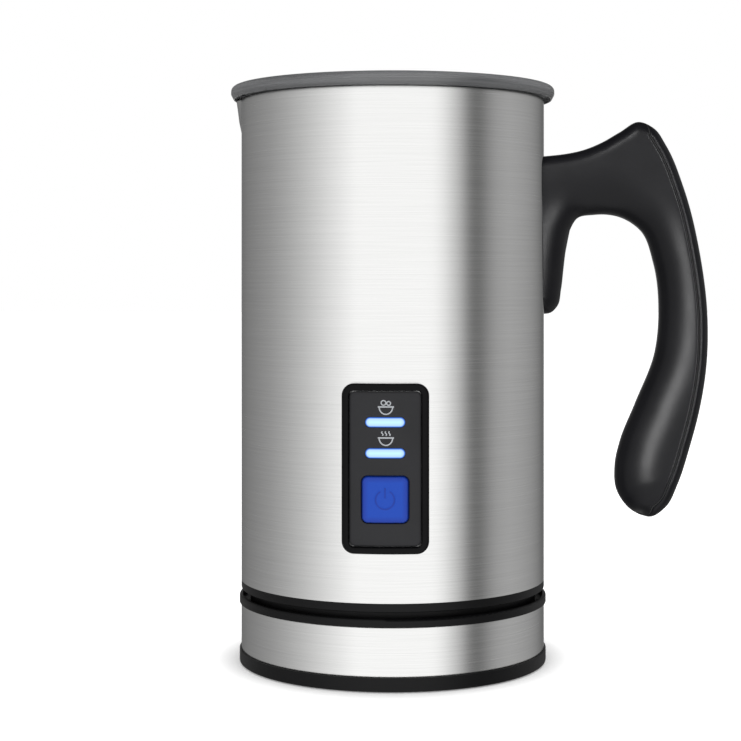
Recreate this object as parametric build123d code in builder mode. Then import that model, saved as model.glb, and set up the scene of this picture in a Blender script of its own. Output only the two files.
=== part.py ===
"""Electric milk frother: a cordless jug that heats and whisks milk, on a round power base.

Frame: origin on the jug's axis at the surface that the base stands on, +Z up.
The handle points to +X, the pouring spout to -X, the control panel to -Y, the cord inlet to +Y.
All sizes are in millimetres.
"""

import os
from math import cos, radians, sin

from build123d import *

os.makedirs("parts", exist_ok=True)

ON_FLOOR = (Align.CENTER, Align.CENTER, Align.MIN)

# ---- Driving sizes -------------------------------------------------------------------------
# Clearances
slip = 0.1  # between pieces of one assembly that slide into each other
seat_gap = 0.05  # between faces that are clamped together
running_gap = 0.3  # between pieces that move past each other
shaft_gap = 0.06  # between a shaft and its own bore, on the radius

# Jacket and black rings
jug_radius = 51.0  # outside of the steel jacket and of the steel base band
steel_wall = 0.5
ring_proud = 0.6  # the base's black rings stand this far outside the steel
jacket_height = 162.3
jacket_shoulder = 1.8  # radius of the rounded top edge
plastic_wall = 2.0

# Power base, from the surface upwards
foot_lift = 0.3  # the rubber ring holds the base off the surface
foot_rim_height = 4.4
base_band_height = 15.6
base_lip_height = 2.7
base_lip_width = 1.0

# Shadow gap and the jug's own black ring
shadow_gap = 1.9
jug_ring_height = 2.8
jug_skirt_inset = 3.0

# Round connector between base and jug
post_radius = 14.8
post_height = 10.1
pin_radius = 2.0
contact_ring_radius = 10.3
contact_ring_width = 0.6
contact_depth = 8.0

# Milk vessel
drive_space = 60.5  # height inside the jacket that is left for the drive
vessel_inset = 9.0  # from the jacket's outside to the vessel's inside
vessel_wall = 0.8
vessel_flange = 0.7
mouth_inset = 3.1  # from the jacket's outside to the vessel's mouth
mouth_height = 14.0
flare_height = 13.0
floor_corner = 5.0

# Pouring spout
spout_reach = 2.3
spout_radius = 11.0
spout_foot_radius = 6.0
spout_height = 14.0

# Lid
lid_overhang = 3.5  # beyond the jacket
lid_thickness = 1.8
lid_lip_drop = 2.5
lid_lip_width = 1.25
lid_upper_edge = 2.2
lid_lower_edge = 1.1
plug_depth = 7.5
plug_wall = 1.6
seal_height = 5.0
seal_width = 1.4

# Handle
handle_width = 22.0
handle_edge = 3.2  # rounding of its long edges
handle_drop = 20.2  # from the jacket's top down to the handle's top edge at the root
back_strip = 3.3  # thickness of the strip that covers the handle's back
handle_screw_radius = 2.0
handle_screws_at = ((9.0, 14.0), (31.0, 6.5))  # drop below the handle's top edge, and length
handle_bracket_height = 44.0
handle_bracket_width = 18.0
handle_bracket_wall = 1.1

# Control panel
panel_width = 27.2
panel_height = 52.8
panel_corner = 3.8
panel_bottom = 43.2
bezel_width = 2.3
bezel_proud = 1.9
fascia_proud = 1.1
fascia_wall = 1.5
cutout_inset = 0.8  # from the fascia's edge to the hole in the jacket
button_size = 14.3
button_corner = 1.8
button_proud = 1.7
button_flange = 0.7
button_rise = 16.9  # from the panel's bottom edge to the button's centre
button_travel = 1.0
symbol_radius = 2.6
symbol_line = 0.7
window_width = 12.4
window_height = 3.1
window_rises = (31.2, 40.8)  # from the panel's bottom edge to each window's centre
board_depth = 5.0  # from the jacket's inside to the control board

# Drive under the vessel
motor_radius = 14.0
motor_height = 32.0
shaft_radius = 1.0
rotor_radius = 16.0
rotor_height = 5.0
magnet_radius = 4.0
magnet_height = 3.0
magnet_circle = 10.5
heater_tube_radius = 3.2
heater_gap_angle = 60.0
heat_plate_thickness = 2.0
heat_plate_hole = 18.0
pillar_radius = 4.0
pillar_angles = (90, 210, 330)
bracket_thickness = 1.5
board_thickness = 1.6
screw_radius = 1.5
screw_head_radius = 2.8
screw_head_height = 1.8

# Whisk
spindle_radius = 1.5
spindle_height = 12.0
bush_radius = 2.8
hub_radius = 4.6
whisk_disc_radius = 14.0
whisk_disc_thickness = 3.0
whisk_coil_circle = 15.2
whisk_coil_radius = 2.1
whisk_floor_gap = 2.2
whisk_grip_height = 7.0
whisk_magnet_radius = 2.4
whisk_magnet_circle = 9.0

# Cord inlet at the rear of the base
cord_bore = 3.1
gland_radius = 5.0
gland_flange = 1.0

# ---- Levels and radii that follow from them --------------------------------------------------
ring_radius = jug_radius + ring_proud
steel_inside = jug_radius - steel_wall
spigot_radius = steel_inside - slip  # plastic walls that stand inside the steel
spigot_inside = spigot_radius - plastic_wall

base_band_low = foot_lift + foot_rim_height
base_band_top = base_band_low + base_band_height
base_lip_top = base_band_top + base_lip_height
deck_top = base_band_top + ring_proud
deck_low = deck_top - plastic_wall
gland_z = (base_band_low + base_band_top) / 2
jug_ring_low = base_lip_top + shadow_gap
jacket_low = jug_ring_low + jug_ring_height
jacket_top = jacket_low + jacket_height
skirt_radius = jug_radius - jug_skirt_inset
skirt_low = deck_top + running_gap
cover_floor_top = jug_ring_low + plastic_wall

post_top = deck_top + post_height
socket_radius = post_radius + 0.8
inlet_radius = socket_radius + plastic_wall
inlet_flange = inlet_radius + 3.5
socket_roof = post_top + 0.8
inlet_top = socket_roof + plastic_wall
collar_radius = inlet_radius + running_gap

vessel_radius = jug_radius - vessel_inset
vessel_top = jacket_top + vessel_flange
vessel_floor = jacket_low + drive_space
vessel_under = vessel_floor - vessel_wall
mouth_hole = jug_radius - mouth_inset  # radius of the hole in the jacket's top
mouth_outside = mouth_hole - slip
mouth_inside = mouth_outside - vessel_wall
flare_top = jacket_top - mouth_height
flare_low = flare_top - flare_height

spout_foot = jacket_top - spout_height
spout_foot_x = -(jug_radius - spout_foot_radius)
spout_top_x = -(jug_radius + spout_reach - spout_radius)

lid_radius = jug_radius + lid_overhang
lid_low = vessel_top + running_gap
lid_top = lid_low + lid_thickness
lid_lip_low = lid_low - lid_lip_drop
seal_radius = mouth_inside - 0.2
seal_inside = seal_radius - seal_width
plug_radius = seal_inside - seat_gap
plug_low = lid_low - plug_depth

handle_top = jacket_top - handle_drop
handle_bracket_top = handle_top - 1.0
handle_bracket_outer = steel_inside - slip
handle_bracket_inner = handle_bracket_outer - handle_bracket_wall

panel_middle = panel_bottom + panel_height / 2
bezel_radius = jug_radius + bezel_proud
fascia_radius = jug_radius + fascia_proud
fascia_inside = fascia_radius - fascia_wall
fascia_width = panel_width - 2 * bezel_width
fascia_height = panel_height - 2 * bezel_width
cutout_width = fascia_width - 2 * cutout_inset
cutout_height = fascia_height - 2 * cutout_inset
cutout_corner = panel_corner - bezel_width - 0.5
button_z = panel_bottom + button_rise
window_levels = [panel_bottom + rise for rise in window_rises]
board_face = steel_inside - board_depth
board_back = board_face - board_thickness

heat_plate_radius = vessel_radius - 7.0
heat_plate_low = vessel_under - heat_plate_thickness
heater_circle = heat_plate_radius - 6.0
heater_z = heat_plate_low - heater_tube_radius - seat_gap
rotor_top = vessel_under - 3.0
rotor_low = rotor_top - rotor_height
bracket_top = rotor_low - 2.6
bracket_low = bracket_top - bracket_thickness
motor_low = bracket_low - motor_height
rim_ring_low = vessel_under - 4.5
pillar_circle = jug_radius - 9.5
power_board_low = inlet_top + 4.0
power_board_top = power_board_low + board_thickness
power_board_radius = pillar_circle - pillar_radius - 1.0

whisk_low = vessel_floor + whisk_floor_gap
coil_z = whisk_low + whisk_coil_radius
disc_low = coil_z - whisk_disc_thickness / 2
disc_top = coil_z + whisk_disc_thickness / 2
spindle_top = vessel_floor + spindle_height
bush_low = vessel_floor + 1.4
bush_top = spindle_top + 1.3
hub_top = bush_top + whisk_grip_height


# ---- Helpers ---------------------------------------------------------------------------------
def tube(outer, inner, low, high, mode=Mode.ADD):
    """A ring on the jug's axis between two heights; inner 0 makes it a disc."""
    with BuildSketch(Plane.XY.offset(low)) as section:
        Circle(outer)
        if inner:
            Circle(inner, mode=Mode.SUBTRACT)
    extrude(section.sketch, amount=high - low, mode=mode)


def post(x, y, radius, low, high, mode=Mode.ADD):
    """An upright cylinder at x, y between two heights."""
    with Locations((x, y, low)):
        Cylinder(radius, high - low, align=ON_FLOOR, mode=mode)


def rod(origin, direction, radius, length, mode=Mode.ADD):
    """A cylinder that starts at origin and runs along direction."""
    with Locations(Plane(origin, z_dir=direction)):
        Cylinder(radius, length, align=ON_FLOOR, mode=mode)


def screw(origin, direction, length, radius=screw_radius, head=screw_head_radius):
    """A cross-head screw: origin is the middle of its head's face, direction the way it drives."""
    with Locations(Plane(origin, z_dir=direction)):
        Cylinder(head, screw_head_height, align=ON_FLOOR)
        Cylinder(radius, screw_head_height + length, align=ON_FLOOR)
        Box(head, 0.7, screw_head_height / 2, align=ON_FLOOR, mode=Mode.SUBTRACT)
        Box(0.7, head, screw_head_height / 2, align=ON_FLOOR, mode=Mode.SUBTRACT)


def on_circle(radius, angle):
    """The x and y of a point at an angle in degrees, counted from the handle."""
    return radius * cos(radians(angle)), radius * sin(radians(angle))


def wrapped(outline, inner, outer, low, high):
    """A flat outline on the front plane, turned into a plate that follows the jug's curve."""
    with BuildPart() as block:
        extrude(outline, amount=outer)
    with BuildPart() as curve:
        tube(outer, inner, low, high)
    return block.part & curve.part


def front_plate(width, height, corner, middle, inner, outer):
    """A plate with rounded corners that follows the jug's curve, on the front of the jug."""
    with BuildSketch(Plane.XZ.offset(inner / 2)) as outline:
        with Locations((0, middle)):
            RectangleRounded(width, height, corner)
    return wrapped(outline.sketch, inner, outer, middle - height, middle + height)


def spout_circle(z, inset):
    """Centre and radius of the spout's round section at height z, shrunk by inset."""
    rise = (z - spout_foot) / spout_height
    centre = spout_foot_x + rise * (spout_top_x - spout_foot_x)
    radius = spout_foot_radius + rise * (spout_radius - spout_foot_radius) - inset
    return centre, radius


def spout_cone(inset, foot, top, shoulder=0.0):
    """The cone that swells a round wall into the spout, shrunk by inset."""
    with BuildPart() as cone:
        for z in (foot, top):
            centre, radius = spout_circle(z, inset)
            with BuildSketch(Plane.XY.offset(z)):
                with Locations((centre, 0)):
                    Circle(radius)
        loft()
        if shoulder:
            fillet(cone.edges().group_by(Axis.Z)[-1], shoulder)
    return cone.part


def jacket_form(inset, low, top, shoulder):
    """The jacket's solid form, shrunk by inset, with a rounded top edge and the spout."""
    with BuildPart() as barrel:
        tube(jug_radius - inset, 0, low, top)
        fillet(barrel.edges().group_by(Axis.Z)[-1], shoulder)
    return barrel.part + spout_cone(inset, spout_foot, top, shoulder)


# ---- Power base ------------------------------------------------------------------------------
base_screw_points = [on_circle(jug_radius - 17.0, angle) for angle in (30, 150, 270)]
base_screw_head = foot_lift + 4.0
foot_ring_outer = jug_radius - 4.5
foot_ring_inner = foot_ring_outer - 7.0
foot_groove = 1.0

with BuildPart() as foot_ring:
    tube(foot_ring_outer, foot_ring_inner, 0, foot_lift + foot_groove)
    fillet(foot_ring.edges().group_by(Axis.Z)[0], 0.4)
foot_ring.part.label = "foot_ring"

with BuildPart() as base_bottom:
    base_floor_top = foot_lift + plastic_wall
    tube(ring_radius, 0, foot_lift, base_band_low)
    fillet(base_bottom.edges().group_by(Axis.Z)[0], 0.6)
    tube(spigot_radius, 0, base_band_low, deck_low - 2.0)
    tube(spigot_inside, 0, base_floor_top, deck_low, Mode.SUBTRACT)
    tube(foot_ring_outer + slip, foot_ring_inner - slip, foot_lift, foot_lift + foot_groove, Mode.SUBTRACT)
    for x, y in base_screw_points:
        post(x, y, screw_head_radius + 1.6, base_floor_top, deck_low - slip)
        post(x, y, screw_head_radius + slip, foot_lift, base_screw_head + screw_head_height, Mode.SUBTRACT)
        post(x, y, screw_radius + slip, foot_lift, deck_low, Mode.SUBTRACT)
    rod((0, spigot_inside - 3, gland_z), (0, 1, 0), gland_radius + slip, 8, Mode.SUBTRACT)
base_bottom.part.label = "base_bottom"

with BuildPart() as base_band:
    tube(jug_radius, steel_inside, base_band_low, base_band_top)
    rod((0, spigot_inside, gland_z), (0, 1, 0), gland_radius + slip, 8, Mode.SUBTRACT)
base_band.part.label = "base_band"

with BuildPart() as base_top:
    tube(ring_radius, 0, base_band_top, base_lip_top)
    fillet(base_top.edges().group_by(Axis.Z)[-1], 0.7)
    tube(ring_radius - base_lip_width, 0, deck_top, base_lip_top, Mode.SUBTRACT)
    tube(spigot_radius, 0, deck_low, base_band_top)
    tube(post_radius + slip, 0, deck_low, base_lip_top, Mode.SUBTRACT)
    for x, y in base_screw_points:
        post(x, y, screw_radius + seat_gap, deck_low, deck_low + plastic_wall / 2, Mode.SUBTRACT)
base_top.part.label = "base_top"

slot_outer = contact_ring_radius + contact_ring_width / 2 + 1.0
slot_inner = contact_ring_radius - contact_ring_width / 2 - 0.9
slot_low = post_top - contact_depth - 1.5
connector_low = deck_low - slip - plastic_wall

with BuildPart() as base_connector:
    tube(post_radius, 0, connector_low, post_top)
    fillet(base_connector.edges().group_by(Axis.Z)[-1], 1.2)
    tube(post_radius + 4.5, 0, connector_low, deck_low - slip)
    tube(pin_radius + 1.2, 0, slot_low, post_top, Mode.SUBTRACT)
    tube(slot_outer, slot_inner, slot_low, post_top, Mode.SUBTRACT)
base_connector.part.label = "base_connector"

with BuildPart() as base_contacts:
    tube(pin_radius + 1.1, pin_radius + 0.5, slot_low, post_top - 2.0)
    tube(slot_outer - slip, slot_outer - 0.5, slot_low, post_top - 3.0)
base_contacts.part.label = "base_contacts"

base_screw_length = deck_low + plastic_wall / 2 - 0.2 - base_screw_head - screw_head_height
with BuildPart() as base_screws:
    for x, y in base_screw_points:
        screw((x, y, base_screw_head), (0, 0, 1), base_screw_length)
base_screws.part.label = "base_screws"

gland_outer_face = jug_radius + slip + gland_flange
gland_inner_face = spigot_inside - gland_flange - 0.5
with BuildPart() as cord_gland:
    gland_length = gland_outer_face - gland_inner_face
    rod((0, gland_inner_face, gland_z), (0, 1, 0), gland_radius, gland_length)
    rod((0, gland_inner_face, gland_z), (0, 1, 0), gland_radius + gland_flange, gland_flange)
    rod((0, gland_outer_face, gland_z), (0, -1, 0), gland_radius + gland_flange, gland_flange)
    fillet(cord_gland.edges().group_by(Axis.Y)[-1], 0.4)
    rod((0, gland_inner_face, gland_z), (0, 1, 0), cord_bore, gland_length, Mode.SUBTRACT)
cord_gland.part.label = "cord_gland"

# ---- Connector half that lifts off with the jug ----------------------------------------------
ring_outer = contact_ring_radius + contact_ring_width / 2
ring_inner = contact_ring_radius - contact_ring_width / 2
connector_skirt_low = skirt_low + 1.0

with BuildPart() as jug_connector:
    tube(inlet_radius, 0, connector_skirt_low, inlet_top)
    tube(inlet_flange, 0, socket_roof, inlet_top)
    tube(socket_radius, 0, connector_skirt_low, socket_roof, Mode.SUBTRACT)
    tube(pin_radius + seat_gap, 0, socket_roof, inlet_top, Mode.SUBTRACT)
    tube(ring_outer + seat_gap, ring_inner - seat_gap, socket_roof, inlet_top - 0.8, Mode.SUBTRACT)
jug_connector.part.label = "jug_connector"

with BuildPart() as jug_contacts:
    tube(pin_radius, 0, post_top - contact_depth, inlet_top + 0.4)
    fillet(jug_contacts.edges().group_by(Axis.Z)[0], 0.8)
    tube(ring_outer, ring_inner, post_top - contact_depth + 1.5, inlet_top - 0.85)
jug_contacts.part.label = "jug_contacts"

# ---- Jug: bottom cover, chassis, drive ---------------------------------------------------------
pillar_points = [on_circle(pillar_circle, angle) for angle in pillar_angles]
board_screw_points = [on_circle(power_board_radius - 4.5, angle) for angle in (30, 150, 270)]
boss_top = cover_floor_top + 3.0
board_screw_length = 6.0

with BuildPart() as bottom_cover:
    tube(jug_radius, 0, jug_ring_low, jacket_low)
    fillet(bottom_cover.edges().group_by(Axis.Z)[0], 0.5)
    tube(skirt_radius, 0, skirt_low, jug_ring_low)
    tube(skirt_radius - plastic_wall, 0, skirt_low, jug_ring_low, Mode.SUBTRACT)
    tube(spigot_radius, 0, jacket_low, jacket_low + 5.0)
    tube(spigot_inside, 0, cover_floor_top, jacket_low + 5.0, Mode.SUBTRACT)
    tube(collar_radius + plastic_wall, 0, connector_skirt_low, socket_roof - running_gap)
    tube(collar_radius, 0, skirt_low, jacket_low + 5.0, Mode.SUBTRACT)
    for x, y in pillar_points:
        post(x, y, pillar_radius + 1.5, jug_ring_low, boss_top)
        post(x, y, screw_head_radius + slip, skirt_low, jug_ring_low + screw_head_height, Mode.SUBTRACT)
        post(x, y, screw_radius + slip, skirt_low, boss_top, Mode.SUBTRACT)
    for x, y in board_screw_points:
        post(x, y, 3.0, jug_ring_low, power_board_low - seat_gap)
        post(x, y, screw_radius + seat_gap, power_board_low - 8.0, power_board_low, Mode.SUBTRACT)
bottom_cover.part.label = "bottom_cover"

with BuildPart() as bottom_screws:
    for x, y in pillar_points:
        screw((x, y, jug_ring_low), (0, 0, 1), 12.0)
bottom_screws.part.label = "bottom_screws"

pillar_slot = 3.0
with BuildPart() as chassis:
    tube(heat_plate_radius + 8.0, heat_plate_radius + 1.5, rim_ring_low, vessel_under - seat_gap)
    for x, y in pillar_points:
        post(x, y, pillar_radius, boss_top + seat_gap, rim_ring_low)
        post(x, y, screw_radius + slip, boss_top, boss_top + 12.0, Mode.SUBTRACT)
    for angle in pillar_angles:
        with Locations(Rotation(0, 0, angle)):
            with Locations((pillar_circle - pillar_radius, 0, bracket_low - slip)):
                Box(2 * pillar_slot, 8.4, bracket_thickness + 2 * slip, align=ON_FLOOR, mode=Mode.SUBTRACT)
chassis.part.label = "chassis"

with BuildPart() as motor_bracket:
    tube(motor_radius + 2.0, 0, bracket_low, bracket_top)
    for angle in pillar_angles:
        arm_length = pillar_circle - pillar_radius + pillar_slot - 0.2
        with Locations(Rotation(0, 0, angle)):
            with Locations((arm_length / 2, 0, bracket_low)):
                Box(arm_length, 8.0, bracket_thickness, align=ON_FLOOR)
    tube(3.2, 0, bracket_low, bracket_top, Mode.SUBTRACT)
    for x in (-8.0, 8.0):
        post(x, 0, screw_radius + slip, bracket_low, bracket_top, Mode.SUBTRACT)
motor_bracket.part.label = "motor_bracket"

with BuildPart() as motor_can:
    tube(motor_radius, 0, motor_low, bracket_low - seat_gap)
    fillet(motor_can.edges().group_by(Axis.Z)[-1], 1.0)
    tube(6.0, 0, motor_low - 1.5, motor_low)
    tube(3.0, 0, bracket_low - 1.0, bracket_top)
    tube(shaft_radius + shaft_gap, 0, motor_low + 5.0, bracket_top, Mode.SUBTRACT)
    for x in (-8.0, 8.0):
        post(x, 0, screw_radius + seat_gap, bracket_low - 5.0, bracket_low, Mode.SUBTRACT)
motor_can.part.label = "motor_can"

with BuildPart() as motor_screws:
    for x in (-8.0, 8.0):
        screw((x, 0, bracket_top + screw_head_height), (0, 0, -1), bracket_thickness + 3.5)
motor_screws.part.label = "motor_screws"

with BuildPart() as motor_shaft:
    tube(shaft_radius, 0, motor_low + 6.0, rotor_top - 1.0)
motor_shaft.part.label = "motor_shaft"

magnet_points = [on_circle(magnet_circle, angle) for angle in (0, 180)]
with BuildPart() as magnet_carrier:
    tube(rotor_radius, 0, rotor_low, rotor_top)
    fillet(magnet_carrier.edges().group_by(Axis.Z)[-1], 0.6)
    tube(shaft_radius + 2.0, 0, rotor_low - 1.5, rotor_low)
    tube(shaft_radius + seat_gap, 0, rotor_low - 1.5, rotor_top - 0.9, Mode.SUBTRACT)
    for x, y in magnet_points:
        post(x, y, magnet_radius + seat_gap, rotor_top - magnet_height - seat_gap, rotor_top, Mode.SUBTRACT)
magnet_carrier.part.label = "magnet_carrier"

with BuildPart() as drive_magnets:
    for x, y in magnet_points:
        post(x, y, magnet_radius, rotor_top - magnet_height, rotor_top - 0.1)
drive_magnets.part.label = "drive_magnets"

thermostat_y = heater_circle
with BuildPart() as heat_plate:
    tube(heat_plate_radius, heat_plate_hole, heat_plate_low, vessel_under - seat_gap)
heat_plate.part.label = "heat_plate"

heater_start = 90.0 + heater_gap_angle / 2
heater_plane = Plane(
    (0, 0, 0),
    x_dir=(cos(radians(heater_start)), sin(radians(heater_start)), 0),
    z_dir=(sin(radians(heater_start)), -cos(radians(heater_start)), 0),
)
with BuildPart() as heater_element:
    with BuildSketch(heater_plane):
        with Locations((heater_circle, heater_z)):
            Circle(heater_tube_radius)
    revolve(axis=Axis.Z, revolution_arc=360.0 - heater_gap_angle)
    for angle in (90 - heater_gap_angle / 2 - 4, 90 + heater_gap_angle / 2 + 4):
        x, y = on_circle(heater_circle, angle)
        post(x, y, 1.2, heater_z - heater_tube_radius - 5.0, heater_z)
heater_element.part.label = "heater_element"

with BuildPart() as thermostat:
    post(0, thermostat_y, 6.5, heat_plate_low - 5.0, heat_plate_low - seat_gap)
    fillet(thermostat.edges().group_by(Axis.Z)[0], 0.8)
    post(0, thermostat_y, 4.0, heat_plate_low - 7.0, heat_plate_low - 5.0)
thermostat.part.label = "thermostat"

fuse_x, fuse_y = on_circle(heat_plate_hole + 4.0, 270)
with BuildPart() as thermal_fuse:
    rod((fuse_x - 6, fuse_y, heat_plate_low - 2.0), (1, 0, 0), 1.8, 12)
    rod((fuse_x - 9, fuse_y, heat_plate_low - 2.0), (1, 0, 0), 0.5, 18)
thermal_fuse.part.label = "thermal_fuse"

with BuildPart() as power_board:
    tube(power_board_radius, 5.0, power_board_low, power_board_top)
    for x, y in board_screw_points:
        post(x, y, screw_radius + slip, power_board_low, power_board_top, Mode.SUBTRACT)
power_board.part.label = "power_board"

with BuildPart() as board_components:
    with Locations((-24, 0, power_board_top)):
        Box(12, 15, 14, align=ON_FLOOR)
    with Locations((24, 6, power_board_top)):
        Box(10, 12, 10, align=ON_FLOOR)
    with Locations((20, -15, power_board_top)):
        Box(8, 6, 7, align=ON_FLOOR)
    post(-14, 22, 5.0, power_board_top, power_board_top + 16.0)
    post(14, 22, 4.0, power_board_top, power_board_top + 12.0)
    post(-17, -18, 3.2, power_board_top, power_board_top + 11.0)
board_components.part.label = "board_components"

with BuildPart() as power_board_screws:
    for x, y in board_screw_points:
        screw((x, y, power_board_top + screw_head_height), (0, 0, -1), board_screw_length)
power_board_screws.part.label = "power_board_screws"

# ---- Jug: jacket, vessel, spindle --------------------------------------------------------------
with BuildPart() as outer_shell:
    add(jacket_form(0, jacket_low, jacket_top, jacket_shoulder))
    inner_shoulder = jacket_shoulder - steel_wall
    add(jacket_form(steel_wall, jacket_low, jacket_top - steel_wall, inner_shoulder), mode=Mode.SUBTRACT)
    tube(mouth_hole, 0, jacket_low, jacket_top, Mode.SUBTRACT)
    add(spout_cone(mouth_inset, spout_foot, jacket_top), mode=Mode.SUBTRACT)
    add(
        front_plate(
            cutout_width, cutout_height, cutout_corner, panel_middle, steel_inside - 3, jug_radius + 1
        ),
        mode=Mode.SUBTRACT,
    )
    for drop, length in handle_screws_at:
        hole_start = (steel_inside - 2, 0, handle_top - drop)
        rod(hole_start, (1, 0, 0), handle_screw_radius + slip, 5, Mode.SUBTRACT)
outer_shell.part.label = "outer_shell"

flange_reach = 1.3
with BuildPart() as inner_vessel:
    with BuildSketch(Plane.XZ) as vessel_section:
        with BuildLine():
            Polyline(
                (0, vessel_under),
                (vessel_radius + vessel_wall, vessel_under),
                (vessel_radius + vessel_wall, flare_low),
                (mouth_outside, flare_top),
                (mouth_outside, vessel_top),
                (0, vessel_top),
                close=True,
            )
        make_face()
        under_corner = (vessel_radius + vessel_wall, 0, vessel_under)
        corner = vessel_section.vertices().sort_by_distance(under_corner)[0]
        fillet(corner, floor_corner + vessel_wall)
    revolve(axis=Axis.Z)
    add(spout_cone(mouth_inset + slip, spout_foot, vessel_top))
    tube(mouth_outside + flange_reach, 0, jacket_top + seat_gap, vessel_top)
    spout_lip_x, spout_lip_radius = spout_circle(jacket_top, mouth_inset - flange_reach)
    post(spout_lip_x, 0, spout_lip_radius, jacket_top + seat_gap, vessel_top)
    with BuildSketch(Plane.XZ) as milk_section:
        with BuildLine():
            Polyline(
                (0, vessel_floor),
                (vessel_radius, vessel_floor),
                (vessel_radius, flare_low),
                (mouth_inside, flare_top),
                (mouth_inside, vessel_top),
                (0, vessel_top),
                close=True,
            )
        make_face()
        corner = milk_section.vertices().sort_by_distance((vessel_radius, 0, vessel_floor))[0]
        fillet(corner, floor_corner)
    revolve(axis=Axis.Z, mode=Mode.SUBTRACT)
    add(
        spout_cone(mouth_inset + slip + vessel_wall, spout_foot + vessel_wall, vessel_top),
        mode=Mode.SUBTRACT,
    )
inner_vessel.part.label = "inner_vessel"

with BuildPart() as spindle_pin:
    tube(5.0, 0, vessel_floor + seat_gap, vessel_floor + 1.0)
    tube(spindle_radius, 0, vessel_floor + 1.0, spindle_top)
    fillet(spindle_pin.edges().group_by(Axis.Z)[-1], 0.6)
spindle_pin.part.label = "spindle_pin"

# ---- Handle ----------------------------------------------------------------------------------
# Points of the side view, clockwise: distance from the jacket, height above the root's top edge
handle_top_line = [(-4.0, -0.6), (0, -0.4), (12.8, 1.5), (24.9, 7.4)]
handle_back_line = [
    (31.2, 10.8),
    (36.5, 8.4),
    (40.2, 3.0),
    (46.2, -11.3),
    (51.4, -32.4),
    (54.1, -56.5),
    (51.7, -83.4),
    (44.1, -109.8),
    (40.3, -117.4),
    (34.9, -121.2),
]
handle_grip_line = [
    (29.2, -119.0),
    (24.6, -113.0),
    (23.8, -103.8),
    (30.4, -83.5),
    (37.3, -66.0),
    (38.6, -52.0),
    (36.6, -36.0),
    (32.6, -25.4),
    (24.9, -20.5),
    (17.0, -19.9),
]
handle_root_line = [
    (11.4, -20.9),
    (8.4, -25.6),
    (6.9, -34.0),
    (5.7, -45.0),
    (4.0, -50.8),
    (0, -53.2),
    (-4.0, -54.0),
]


def placed(points):
    """Handle points in the jug's own radius and height."""
    return [(jug_radius + out, handle_top + up) for out, up in points]


def handle_form():
    """The whole handle, before the strip on its back is parted from it."""
    outline = placed(handle_top_line + handle_back_line + handle_grip_line + handle_root_line)
    with BuildPart() as form:
        with BuildSketch(Plane.XZ) as side:
            with BuildLine():
                Spline(*outline)
                Line(outline[-1], outline[0])
            make_face()
        extrude(side.sketch, amount=handle_width / 2, both=True)
        long_edges = form.faces().filter_by(Axis.Y).edges().filter_by(GeomType.BSPLINE)
        fillet(long_edges, handle_edge)
        tube(jug_radius + seat_gap, 0, handle_top - 80, handle_top + 20, Mode.SUBTRACT)
    return form.part


def back_region(depth):
    """Everything outside a line that runs inside the handle's back edge, depth below it."""
    back_line = placed(handle_back_line)
    seam = []
    for before, point, after in zip(back_line, back_line[1:], back_line[2:]):
        heading = Vector(after[0] - before[0], after[1] - before[1]).normalized()
        seam.append((point[0] + heading.Y * depth, point[1] - heading.X * depth))
    first = (back_line[0][0] - 0.5, back_line[0][1] + 3)
    last = (back_line[-1][0] - 0.5, back_line[-1][1] - 3)
    far = back_line[5][0] + 30
    with BuildPart() as region:
        with BuildSketch(Plane.XZ) as area:
            with BuildLine():
                Spline(first, *seam, last)
                Polyline(last, (far, last[1]), (far, first[1]), first)
            make_face()
        extrude(area.sketch, amount=handle_width, both=True)
    return region.part


handle_solid = handle_form()
handle_screw_hole = handle_screw_radius + seat_gap

with BuildPart() as handle_back:
    add(handle_solid & back_region(back_strip))
handle_back.part.label = "handle_back"

with BuildPart() as handle_grip:
    add(handle_solid - back_region(back_strip + seat_gap))
    for drop, length in handle_screws_at:
        hole_start = (handle_bracket_inner, 0, handle_top - drop)
        rod(hole_start, (1, 0, 0), handle_screw_hole, length + running_gap, Mode.SUBTRACT)
handle_grip.part.label = "handle_grip"

handle_bracket_middle = handle_bracket_top - handle_bracket_height / 2
with BuildPart() as handle_bracket:
    bracket_foot = handle_bracket_top - handle_bracket_height
    tube(handle_bracket_outer, handle_bracket_inner, bracket_foot, handle_bracket_top)
    with Locations((jug_radius, 0, handle_bracket_middle)):
        Box(20, handle_bracket_width, handle_bracket_height, mode=Mode.INTERSECT)
    for drop, length in handle_screws_at:
        hole_start = (steel_inside - 4, 0, handle_top - drop)
        rod(hole_start, (1, 0, 0), handle_screw_radius + slip, 8, Mode.SUBTRACT)
handle_bracket.part.label = "handle_bracket"

handle_screw_head = 3.4
with BuildPart() as handle_screws:
    for drop, length in handle_screws_at:
        head_face = handle_bracket_inner - screw_head_height - running_gap
        origin = (head_face, 0, handle_top - drop)
        screw(origin, (1, 0, 0), length, handle_screw_radius, handle_screw_head)
handle_screws.part.label = "handle_screws"

# ---- Control panel ---------------------------------------------------------------------------
bezel_inside_corner = panel_corner - bezel_width + 0.3
board_height = panel_height - 5.0
board_width = cutout_width + 1.2
board_posts = [(x, panel_middle + z) for x in (-7.6, 7.6) for z in (-20.0, 20.0)]
board_post_radius = 2.2
fascia_corner = bezel_inside_corner - slip

with BuildPart() as panel_bezel:
    add(
        front_plate(
            panel_width, panel_height, panel_corner, panel_middle, jug_radius + seat_gap, bezel_radius
        )
    )
    rim = panel_bezel.faces().sort_by(SortBy.AREA)[-1]
    fillet(rim.edges(), 0.7)
    add(
        front_plate(
            fascia_width, fascia_height, bezel_inside_corner, panel_middle, steel_inside, bezel_radius + 1
        ),
        mode=Mode.SUBTRACT,
    )
panel_bezel.part.label = "panel_bezel"

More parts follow.
